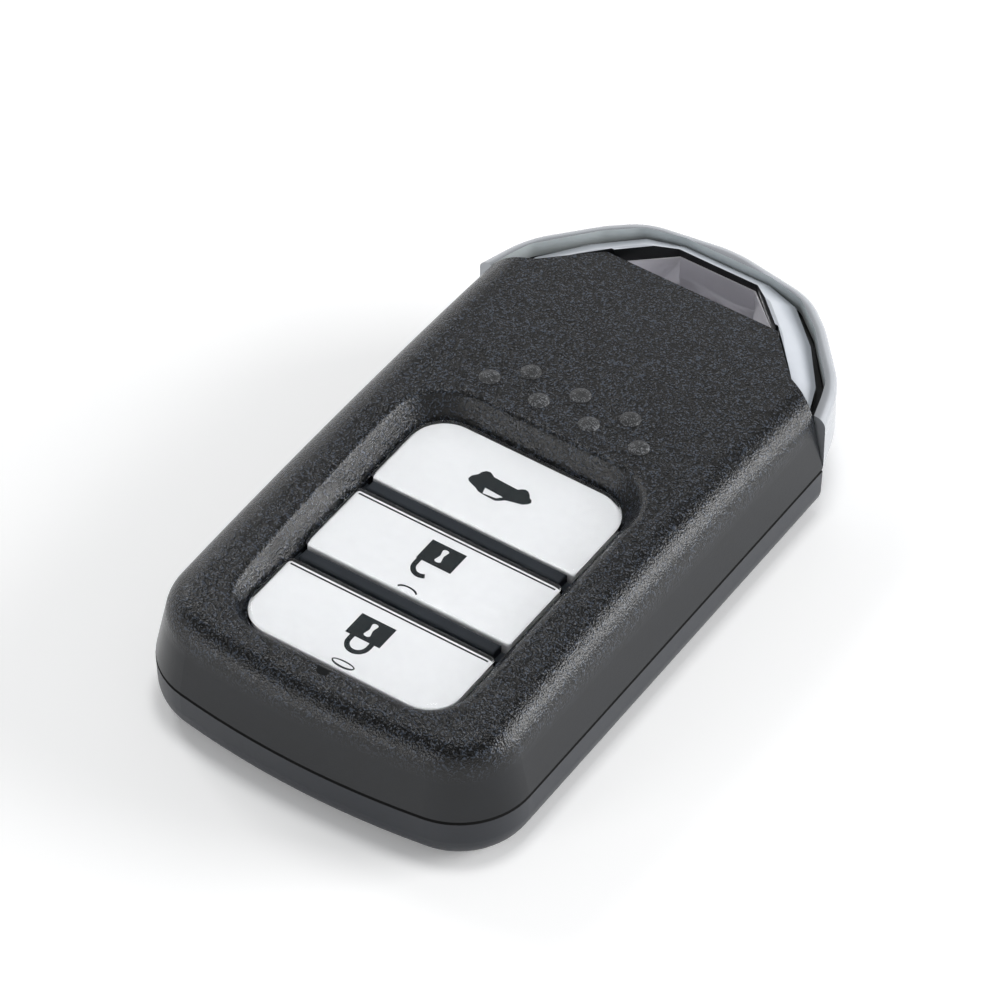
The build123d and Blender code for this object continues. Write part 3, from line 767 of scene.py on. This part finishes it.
@dataclass(frozen=True)
class MouldMark:
    """A thin dark ellipse, or a part of one, about a sign's centre."""

    x: float
    y: float
    half_width: float
    half_length: float
    start: float
    end: float
    steps: int

    def line(self, inset: float = 0.0, flatter: float = 1.0) -> list[Point]:
        """Gives the mark's line, as it is or drawn in."""
        return [(self.x + (self.half_width - inset) * a, self.y + self.half_length * flatter * b)
                for a, b in arc(0, 0, 1, self.start, self.end, self.steps)]


@dataclass
class PrintedSign:
    """A sign in dark print on a button's painted face, on the padlock buttons with a dark line that is a
    painted reflection, and with its lengths from the sign's centre.
    """

    sign: Sign
    button: str
    centre_y: float
    far_edge: float
    surface: float
    film: float = 0.025
    line: float = 0.5
    mark_line: float = 0.14
    shackle_radius: float = 1.03
    shackle_foot: float = -1.25
    closed_centre: Point = (0.03, -1.85)
    open_centre: Point = (-0.42, -1.95)
    open_straight: float = -1.75
    open_end: float = 305.0
    keyhole_x: float = 0.03
    keyhole_near: Point = (-0.38, 0.42)
    keyhole_far: Point = (0.5, 0.4)
    keyhole_waist: Point = (0.08, 0.17)
    keyhole_turn: float = 35.0
    keyhole_steps: int = 8
    closed_steps: int = 16
    open_steps: int = 14
    ring_mark: MouldMark = MouldMark(0.3, -4.55, 1.2, 0.36, 0, 360, 24)
    arc_mark: MouldMark = MouldMark(-0.2, -5.15, 1.1, 0.5, 25, 155, 12)
    # A dark line painted as the reflection in the clear cap's far edge.
    edge_reflection_line: float = 0.16
    edge_reflection_line_inset: float = 0.62
    edge_reflection_line_reach: float = 10.5

    PADLOCK_BODY = [(-1.8, -1.3), (1.85, -1.3), (1.85, 1.32), (-1.8, 1.32)]
    CAR_BODY = [
        (-3.52, -0.38), (-3.3, -0.62), (-2.97, -0.76), (-2.3, -1.0), (-1.89, -1.24), (-1.1, -1.33),
        (0.03, -1.36), (0.42, -1.1), (0.73, -0.81), (1.5, -0.6), (2.3, -0.4), (2.66, -0.1), (2.84, 0.2),
        (2.7, 0.5), (2.4, 0.62), (2.2, 0.95), (1.85, 1.24), (1.5, 1.3), (1.16, 1.12), (0.95, 0.9),
        (-0.4, 0.95), (-1.7, 1.02), (-1.95, 1.2), (-2.3, 1.36), (-2.68, 1.26), (-2.95, 0.95),
        (-3.05, 0.55), (-3.45, 0.1)]
    CAR_WINDOW = [(-1.61, -0.5), (0.39, -0.62), (-0.06, -1.07), (-1.42, -1.21)]

    def plates(self) -> list[list[list[Point]]]:
        """Gives every plate of the print about the sign's centre.

        Returns:
            Each plate's outline and its holes.
        """
        if self.sign is Sign.OPEN_BOOT:
            return [[self.CAR_BODY, self.CAR_WINDOW]]
        sign = [[self.PADLOCK_BODY, self._keyhole()], [stroke(self._shackle(), self.line)]]
        # The last plate is a dark line that is a painted reflection in the clear edge.
        return sign + [self._mark(), self._painted_reflection_line()]

    def _shackle(self) -> list[Point]:
        """Draws the middle line of the padlock's shackle.

        Returns:
            The line's points from its fixed leg.
        """
        closed = self.sign is Sign.CLOSED_PADLOCK
        x, y = self.closed_centre if closed else self.open_centre
        left, right = x - self.shackle_radius, x + self.shackle_radius
        if closed:
            bow = arc(x, y, self.shackle_radius, 180, 360, self.closed_steps)
            return [(left, self.shackle_foot)] + bow + [(right, self.shackle_foot)]
        bow = arc(x, y, self.shackle_radius, 180, self.open_end, self.open_steps)
        return [(left, self.shackle_foot), (left, self.open_straight)] + bow

    def _keyhole(self) -> list[Point]:
        """Draws a waisted keyhole, wide at both ends.

        Returns:
            Its outline.
        """
        x, (waist_y, waist) = self.keyhole_x, self.keyhole_waist
        turn, steps = self.keyhole_turn, self.keyhole_steps
        near = arc(x, *self.keyhole_near, 180 + turn, 360 - turn, steps)
        far = arc(x, *self.keyhole_far, turn, 180 - turn, steps)
        return near + [(x + waist, waist_y)] + far + [(x - waist, waist_y)]

    def _mark(self) -> list[list[Point]]:
        """Draws the thin ring or arc near the edge, where the button was moulded.

        Returns:
            Its outline, and the ring's hole.
        """
        if self.sign is Sign.CLOSED_PADLOCK:
            mark = self.ring_mark
            return [mark.line()[:-1], mark.line(self.mark_line, 1 - self.mark_line / mark.half_length)[:-1]]
        return [stroke(self.arc_mark.line(), self.mark_line)]

    def _painted_reflection_line(self) -> list[list[Point]]:
        """Gives the fine dark line inside the far edge of the two buttons that a bar follows: a painted
        reflection of the clear cap's edge.
        """
        middle = self.far_edge - self.edge_reflection_line_inset - self.centre_y
        return [stroke([(-self.edge_reflection_line_reach, middle), (self.edge_reflection_line_reach, middle)], self.edge_reflection_line)]

    def build(self, material: bpy.types.Material) -> None:
        """Makes the print as thin plates on the painted face.

        Args:
            material: The dark print.
        """
        mesh = bmesh.new()
        for plate in self.plates():
            moved = [[(x, y + self.centre_y) for x, y in points] for points in plate]
            join_meshes(mesh, raise_flat(moved, self.surface, self.surface + self.film))
        add_piece(f"{self.button}_sign", mesh, [material], Place(f"{self.button}_button", "bar_plastic"))


@dataclass
class Buttons:
    """The three buttons with their signs, measured from the fob's near end."""

    near_y: float = -35.4
    sizes: dict[str, tuple[float, float, float, float]] = field(default_factory=lambda: {
        "lock": (6.6, 15.15, 3.2, 0.4), "unlock": (17.3, 25.6, 0.4, 0.4), "boot": (27.4, 37.45, 0.4, 3.6)})
    signs: dict[str, tuple[Sign, float]] = field(default_factory=lambda: {
        "lock": (Sign.CLOSED_PADLOCK, 11.83), "unlock": (Sign.OPEN_PADLOCK, 22.67),
        "boot": (Sign.OPEN_BOOT, 32.4)})

    def build(self, palette: Palette) -> None:
        """Builds each cap, its painted body and its sign.

        Args:
            palette: Every finish.
        """
        for name in BUTTON_NAMES:
            near, far, near_radius, far_radius = self.sizes[name]
            size = ButtonSize(name, self.near_y + near, self.near_y + far, near_radius, far_radius)
            cap = ButtonCap(size)
            cap.build(palette)
            sign, centre = self.signs[name]
            PrintedSign(sign, name, self.near_y + centre, size.far, cap.paint_top()).build(palette["print"])


@dataclass
class FingerBumps:
    """The two rows of low round bumps, painted paler than the cover they stand on as a painted highlight.
    """

    crown_height: float = 14.1
    crown_radius: float = 314.0
    crown_y: float = -5.4
    radius: float = 1.0
    height: float = 0.35
    sunk: float = 0.25
    pitch: float = 5.37
    rows: list[tuple[float, int]] = field(default_factory=lambda: [(6.6, 4), (9.3, 3)])
    rings: int = 8
    sides: int = 32

    def _dome(self, mesh: Mesh, x: float, y: float) -> None:
        """Adds one closed low dome that reaches down into the cover.

        Args:
            mesh: The working mesh.
            x: Place of the dome across the fob.
            y: Place of the dome along the fob.
        """
        surface = self.crown_height - (y - self.crown_y) ** 2 / (2 * self.crown_radius)
        ball = (self.radius ** 2 + self.height ** 2) / (2 * self.height)
        widest = math.asin(self.radius / ball)
        loops = [loop_edges(mesh, ring(x, y, self.radius, self.sides), surface - self.sunk)]
        for step in range(self.rings):
            angle = widest * (1 - step / self.rings)
            height = surface + self.height - ball * (1 - math.cos(angle))
            loops.append(loop_edges(mesh, ring(x, y, ball * math.sin(angle), self.sides), height))
        skin_loops(mesh, loops)

    def build(self, palette: Palette) -> None:
        """Builds both rows as one piece.

        Args:
            palette: Every finish.
        """
        mesh = bmesh.new()
        for y, count in self.rows:
            for number in range(count):
                self._dome(mesh, (number - (count - 1) / 2) * self.pitch, y)
        add_piece("finger_bumps", mesh, [palette["bump_highlight_shell"]], Place("case", "shell_textured"))


@dataclass
class HeadBand:
    """The bright band round the head, whose corners are shares of its half width and length."""

    half_width: float = 18.85
    base_y: float = 20.85
    length: float = 14.55
    outer_shares: list[Point] = field(default_factory=lambda: [
        (1.0, 0.0), (0.913, 0.349), (0.647, 0.733), (0.482, 0.913), (0.06, 1.0)])
    inner_shares: list[Point] = field(default_factory=lambda: [
        (0.934, 0.0), (0.894, 0.168), (0.856, 0.299), (0.62, 0.656), (0.455, 0.835), (0.25, 0.9)])
    outer_radius: float = 11.0
    inner_radius: float = 2.5
    corner_reach: float = 0.49
    top: float = 11.6
    bottom: float = 1.8
    top_radius: float = 1.0
    bottom_radius: float = 4.6
    stations: int = 161
    arc_steps: int = 8
    shaded_below: float = 9.9
    inward: float = 0.6
    upright: float = 0.2

    def _outline(self, shares: Sequence[Point], radius: float) -> list[Vector]:
        """Gives an outline from the right shoulder round to the left.

        Args:
            shares: The right half's corners.
            radius: The corners' rounding.

        Returns:
            Evenly spaced points.
        """
        right = [Vector((self.half_width * across, self.base_y + self.length * along))
                 for across, along in shares]
        whole = right + [Vector((-point.x, point.y)) for point in reversed(right)]
        smooth = [whole[0]]
        for before, corner, after in zip(whole, whole[1:], whole[2:]):
            smooth += self._round_corner(before, corner, after, radius)
        smooth.append(whole[-1])
        return self._spaced(smooth)

    def _round_corner(self, before: Vector, corner: Vector, after: Vector, radius: float) -> list[Vector]:
        """Rounds one corner.

        Args:
            before: The corner before it.
            corner: The corner.
            after: The corner after it.
            radius: The rounding's radius.

        Returns:
            Points of the rounding.
        """
        back, ahead = before - corner, after - corner
        half_turn = (math.pi - back.angle(ahead)) / 2
        reach = min(radius * math.tan(half_turn), self.corner_reach * back.length,
                    self.corner_reach * ahead.length)
        start, end = corner + back.normalized() * reach, corner + ahead.normalized() * reach
        share = [step / self.arc_steps for step in range(self.arc_steps + 1)]
        return [start * (1 - t) ** 2 + corner * 2 * t * (1 - t) + end * t ** 2 for t in share]

    def _spaced(self, points: Sequence[Vector], shortest: float = 1e-9) -> list[Vector]:
        """Spaces a line's points evenly.

        Args:
            points: The line.
            shortest: The least length that a side counts for.

        Returns:
            One point for each station.
        """
        lengths = [0.0]
        for before, after in zip(points, points[1:]):
            lengths.append(lengths[-1] + (after - before).length)
        spaced, index = [], 0
        for station in range(self.stations):
            wanted = lengths[-1] * station / (self.stations - 1)
            while index < len(points) - 2 and lengths[index + 1] < wanted:
                index += 1
            share = (wanted - lengths[index]) / max(lengths[index + 1] - lengths[index], shortest)
            spaced.append(points[index].lerp(points[index + 1], min(share, 1.0)))
        return spaced

    def _section(self, outer: Vector, inner: Vector) -> list[Vector]:
        """Gives the band's section at one station.

        Args:
            outer: The station's point on the outer line.
            inner: Its point on the inner line.

        Returns:
            Points from the inner top edge round to the inner foot.
        """
        wall = (inner - outer).length
        section = [(wall, self.top)]
        for step in range(self.arc_steps + 1):
            depth = min(wall, self.top_radius) * (1 - step / self.arc_steps) ** 2
            rise = math.sqrt(self.top_radius ** 2 - (self.top_radius - depth) ** 2)
            section.append((depth, self.top - self.top_radius + rise))
        for step in range(self.arc_steps + 1):
            depth = wall * (step / self.arc_steps) ** 2
            drop = math.sqrt(self.bottom_radius ** 2 - (self.bottom_radius - depth) ** 2)
            section.append((depth, self.bottom + self.bottom_radius - drop))
        section.append((wall, self.shaded_below))
        inward = (inner - outer).normalized()
        return [(outer + inward * depth).to_3d() + Vector((0, 0, height)) for depth, height in section]

    def _shade_inside(self, mesh: Mesh) -> None:
        """Gives the inner wall a pale painted reflection and, lower down, black painted shade.

        Args:
            mesh: The band.
        """
        bmesh.ops.recalc_face_normals(mesh, faces=mesh.faces)
        for face in mesh.faces:
            centre = face.calc_center_median()
            middle = Vector((-centre.x, self.base_y - centre.y, 0)).normalized()
            if face.normal.dot(middle) > self.inward and abs(face.normal.z) < self.upright:
                # Painted reflection on the upper inner wall, black painted shade below.
                face.material_index = 1 if centre.z > self.shaded_below else 2

    def build(self, palette: Palette) -> None:
        """Sweeps the band's section round the head.

        Args:
            palette: Every finish.
        """
        mesh = bmesh.new()
        outers = self._outline(self.outer_shares, self.outer_radius)
        inners = self._outline(self.inner_shares, self.inner_radius)
        loops = []
        for outer, inner in zip(outers, inners):
            verts = [mesh.verts.new(point) for point in self._section(outer, inner)]
            loops.append([mesh.edges.new((verts[i - 1], verts[i])) for i in range(len(verts))])
        skin_loops(mesh, loops)
        self._shade_inside(mesh)
        finishes = [palette[name] for name in ("bright", "bright_inner_painted_reflection", "black_core_and_painted_shade")]
        piece = add_piece("head_band_bright", mesh, finishes, Place("emergency_key", "bright_trim"))
        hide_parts("head_band")


@dataclass
class WindowLining:
    """The faceted bright walls of the key-ring window, in a pale finish that is a painted reflection."""

    near_y: float = 28.0
    far_y: float = 32.25
    near_half: float = 8.95
    far_half: float = 4.2
    levels: list[tuple[float, float, float]] = field(default_factory=lambda: [
        (0.06, 2.3, 0.0), (0.06, 10.9, 0.0), (0.18, 10.9, 0.0), (0.18, 8.6, 0.22), (0.3, 5.6, -0.1),
        (0.18, 2.3, 0.0)])
    side_slope: float = 1.5
    far_facets: Point = (1.9, -1.3)
    near_facet: float = 2.5
    sharp_angle: float = 2.0

    def _outline(self, margin: float, facet: float) -> list[Point]:
        """Makes one ring of the walls.

        Args:
            margin: How far inside the window it is.
            facet: How far its facets stand in.

        Returns:
            The ring's points in order.
        """
        near, far = self.near_y + margin, self.far_y - margin - facet
        wide, narrow = self.near_half - self.side_slope * margin, self.far_half - margin
        right, left = self.far_facets
        return [(wide, near), (narrow + facet, far + facet / 2), (right, far - facet / 2),
                (left, far + facet), (-narrow, far), (-wide, near), (-self.near_facet, near),
                (self.near_facet, near)]

    def build(self, palette: Palette) -> None:
        """Lines the window.

        Args:
            palette: Every finish.
        """
        mesh = bmesh.new()
        rings = [loop_edges(mesh, self._outline(margin, facet), height)
                 for margin, height, facet in self.levels]
        for before, after in zip(rings, rings[1:] + rings[:1]):
            bmesh.ops.bridge_loops(mesh, edges=before + after)
        piece = add_piece("window_lining", mesh, [palette["bright_window_painted_reflection"]],
                          Place("emergency_key", "bright_trim"), self.sharp_angle)
        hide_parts("window_sleeve")


@dataclass
class HeadTrims:
    """The flat bright trims on the front and the rear of the head."""

    nodes: tuple[str, ...] = ("head_front_trim", "head_rear_trim")
    flat_angle: float = 1.0
    sharp_angle: float = 30.0
    bevel: float = 0.05
    bevel_segments: int = 2
    side_rise: float = 0.15

    def build(self, palette: Palette) -> None:
        """Dresses each trim: faces in a painted reflection, soft edges, and upright sides in black painted
        shade.

        Args:
            palette: Every finish.
        """
        for node in self.nodes:
            mesh = merged_copy(node)
            bmesh.ops.dissolve_limit(mesh, angle_limit=math.radians(self.flat_angle), verts=mesh.verts,
                                     edges=mesh.edges)
            sharp = [edge for edge in mesh.edges if len(edge.link_faces) == 2
                     and edge.calc_face_angle() > math.radians(self.sharp_angle)]
            bmesh.ops.bevel(mesh, geom=sharp, offset=self.bevel, affect="EDGES",
                            segments=self.bevel_segments, profile=0.5, material=-1, clamp_overlap=True)
            for face in mesh.faces:
                # Upright sides get black painted shade.
                face.material_index = 1 if abs(face.normal.z) < self.side_rise else 0
            piece = add_piece(f"{node}_bright", mesh, [palette["bright_face_painted_reflection"], palette["black_core_and_painted_shade"]],
                              Place("emergency_key", "bright_trim"))
            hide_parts(node)


@dataclass
class ReleaseCoil:
    """The release slider's coil spring, copied as a piece with its own mesh."""

    travel: float = 2.0

    def build(self, palette: Palette) -> None:
        """Copies the coil into a piece with its own mesh.

        Args:
            palette: Every finish.
        """
        mesh = merged_copy("release_spring")
        piece = add_piece("release_coil", mesh, [palette["steel"]], Place("release", "spring_steel"))
        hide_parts("release_spring")
        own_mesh(piece)


class Shells:
    """The CAD pieces, each with its finish."""

    FINISH_OF = {
        "front_cover": "textured_shell", "rear_cover": "satin_shell", "divider_bar_near": "bar",
        "divider_bar_far": "bar", "light_window": "smoked", "status_light": "light",
        "keypad_mat": "rubber", "circuit_board": "laminate", "control_chip": "chip",
        "radio_chip": "chip", "crystal": "nickel", "capacitors": "ceramic", "aerial_core": "chip",
        "aerial_winding": "copper", "inner_case": "inner_plastic", "gasket": "seal",
        "coin_cell": "nickel", "battery_contact_positive": "steel",
        "battery_contact_negative": "steel", "battery_pad": "foam", "release_slider": "inner_plastic",
        "release_spring": "steel", "key_head_core": "black_core_and_painted_shade", "head_band": "bright",
        "head_front_trim": "bright", "head_rear_trim": "bright", "window_sleeve": "bright_window_painted_reflection",
        "key_blade": "steel", "blade_pin": "steel",
    }
    BUTTON_FINISHES = {"cap": "clear", "carrier": "pearl", "plunger": "switch", "switch": "switch"}

    def build(self, palette: Palette) -> None:
        """Gives every CAD node its finish.

        Args:
            palette: Every finish.
        """
        finishes = dict(self.FINISH_OF)
        for button in BUTTON_NAMES:
            for piece, finish in self.BUTTON_FINISHES.items():
                finishes[f"{button}_{piece}"] = finish
        for name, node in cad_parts.items():
            node.data.materials.clear()
            node.data.materials.append(palette[finishes[name]])
            LOG.info("%s: %s", name, finishes[name])


def view_direction(azimuth: float, elevation: float) -> Vector:
    """Gives the direction from the fob towards a viewer, from two angles in degrees."""
    turn, tilt = math.radians(azimuth), math.radians(elevation)
    return Vector((math.sin(turn) * math.cos(tilt), -math.cos(turn) * math.cos(tilt), math.sin(tilt)))


@dataclass(frozen=True)
class Softbox:
    """A square soft light that looks at the fob, with its place, size and power."""

    name: str
    azimuth: float
    elevation: float
    distance: float
    size: float
    power: float

    def build(self) -> None:
        """Makes the light."""
        data = bpy.data.lights.new(self.name, "AREA")
        data.energy = self.power
        data.size = self.size * MM
        light = bpy.data.objects.new(self.name, data)
        bpy.context.scene.collection.objects.link(light)
        away = view_direction(self.azimuth, self.elevation)
        light.location = away * self.distance * MM
        light.rotation_euler = away.to_track_quat("Z", "Y").to_euler()


@dataclass
class Studio:
    """The pale floor, the soft lights and the white surround."""

    floor_half: float = 900.0
    floor_drop: float = 0.02
    floor_tone: float = 0.9
    shadow_share: float = 1.0
    glow: float = 0.15
    ceiling: float = 0.15
    ceiling_span: Point = (0.42, 0.65)
    seen_through: float = 1.12
    surround: float = 0.3
    surround_tone: tuple[float, ...] = (0.97, 0.985, 1.0, 1)
    lights: list[Softbox] = field(default_factory=lambda: [
        Softbox("far_left", 250.0, 40.0, 700.0, 180.0, 0.9),
        Softbox("far_right", 125.0, 17.0, 800.0, 460.0, 6.0),
        Softbox("near_left", 337.0, 14.0, 800.0, 300.0, 1.2),
        Softbox("above", 180.0, 86.0, 800.0, 200.0, 1.7),
    ])

    def build(self) -> None:
        """Makes the floor, the lights and the world."""
        self._floor()
        for light in self.lights:
            light.build()
        self._world()

    def _floor(self) -> None:
        """Makes a plain pale floor."""
        mesh = bmesh.new()
        bmesh.ops.create_grid(mesh, x_segments=1, y_segments=1, size=self.floor_half * MM)
        bmesh.ops.translate(mesh, vec=(0, 0, -self.floor_drop * MM), verts=mesh.verts)
        data = bpy.data.meshes.new("floor")
        mesh.to_mesh(data)
        mesh.free()
        data.materials.append(self._floor_material())
        floor = bpy.data.objects.new("floor", data)
        bpy.context.scene.collection.objects.link(floor)

    def _floor_material(self) -> bpy.types.Material:
        """Makes a pale floor that reads white to the camera and keeps the fob's shadow.

        Returns:
            The new material.
        """
        material = bpy.data.materials.new("floor")
        material.use_nodes = True
        tree = material.node_tree
        tree.nodes.remove(tree.nodes["Principled BSDF"])
        pale, shown = (self._diffuse(tree, tone) for tone in (self.floor_tone, self.shadow_share))
        glow = tree.nodes.new("ShaderNodeEmission")
        glow.inputs["Strength"].default_value = self.glow
        total = tree.nodes.new("ShaderNodeAddShader")
        tree.links.new(shown, total.inputs[0])
        tree.links.new(glow.outputs["Emission"], total.inputs[1])
        self._show(tree, pale, total.outputs["Shader"], tree.nodes["Material Output"])
        return material

    def _diffuse(self, tree: Tree, tone: float) -> Socket:
        """Adds a plain grey surface and returns its shader."""
        surface = tree.nodes.new("ShaderNodeBsdfDiffuse")
        surface.inputs["Color"].default_value = (tone, tone, tone, 1)
        return surface.outputs["BSDF"]

    def _show(self, tree: Tree, light: Socket, seen: Socket, output: bpy.types.Node) -> None:
        """Lights the fob with one shader and shows another to the camera.

        Args:
            tree: The node tree.
            light: The shader that lights the fob.
            seen: The shader that is seen, also in gloss and through clear plastic.
            output: The tree's output.
        """
        mix = tree.nodes.new("ShaderNodeMixShader")
        tree.links.new(seen_directly(tree), mix.inputs["Fac"])
        tree.links.new(light, mix.inputs[1])
        tree.links.new(seen, mix.inputs[2])
        tree.links.new(mix.outputs["Shader"], output.inputs["Surface"])

    def _world(self) -> None:
        """Makes a white background for the camera and a softer surround for the light."""
        world = bpy.data.worlds.new("studio")
        bpy.context.scene.world = world
        world.use_nodes = True
        tree = world.node_tree
        backdrop = tree.nodes["Background"]
        backdrop.inputs["Strength"].default_value = 1.0
        tree.links.new(self._backdrop_tone(tree), backdrop.inputs["Color"])
        soft = tree.nodes.new("ShaderNodeBackground")
        soft.inputs["Color"].default_value = self.surround_tone
        soft.inputs["Strength"].default_value = self.surround
        self._show(tree, soft.outputs["Background"], backdrop.outputs["Background"],
                   tree.nodes["World Output"])

    def _backdrop_tone(self, tree: Tree) -> Socket:
        """Gives white round the horizon and to the camera, and grey overhead where gloss shows it.

        Args:
            tree: The world's node tree.

        Returns:
            The backdrop's tone.
        """
        height = upward_part(tree, tree.nodes.new("ShaderNodeTexCoord").outputs["Generated"])
        fall = add_range(tree, height, self.ceiling_span, (1.0, self.ceiling), smooth=True)
        path = tree.nodes.new("ShaderNodeLightPath")
        through = add_math(tree, "MULTIPLY", path.outputs["Is Transmission Ray"], self.seen_through)
        return highest_of(tree, [fall, path.outputs["Is Camera Ray"], through])


@dataclass
class PhotoCamera:
    """The camera at the photograph's angle, in degrees and millimetres."""

    azimuth: float = 34.26
    elevation: float = 45.53
    distance: float = 600.5
    lens: float = 235.1
    sensor: float = 36.0
    near_clip: float = 0.01
    target: tuple[float, float, float] = (-7.57, 7.59, -2.51)

    def build(self) -> None:
        """Places the camera and makes it the scene's own."""
        data = bpy.data.cameras.new("photo")
        data.lens = self.lens
        data.sensor_width = self.sensor
        data.clip_start = self.near_clip
        camera = bpy.data.objects.new("photo", data)
        bpy.context.scene.collection.objects.link(camera)
        back = view_direction(self.azimuth, self.elevation)
        camera.location = (Vector(self.target) + back * self.distance) * MM
        camera.rotation_euler = back.to_track_quat("Z", "Y").to_euler()
        bpy.context.scene.camera = camera


def main() -> None:
    """Builds the fob's pieces in order."""
    logging.basicConfig(level=logging.INFO, format="%(name)s %(message)s")
    bpy.context.scene.view_settings.view_transform = "Standard"
    palette = Palette()
    for assembly in (Shells(), Buttons(), FingerBumps(), HeadBand(), WindowLining(), HeadTrims(),
                     ReleaseCoil()):
        assembly.build(palette)
    Studio().build()
    PhotoCamera().build()


if __name__ == "__main__":
    main()
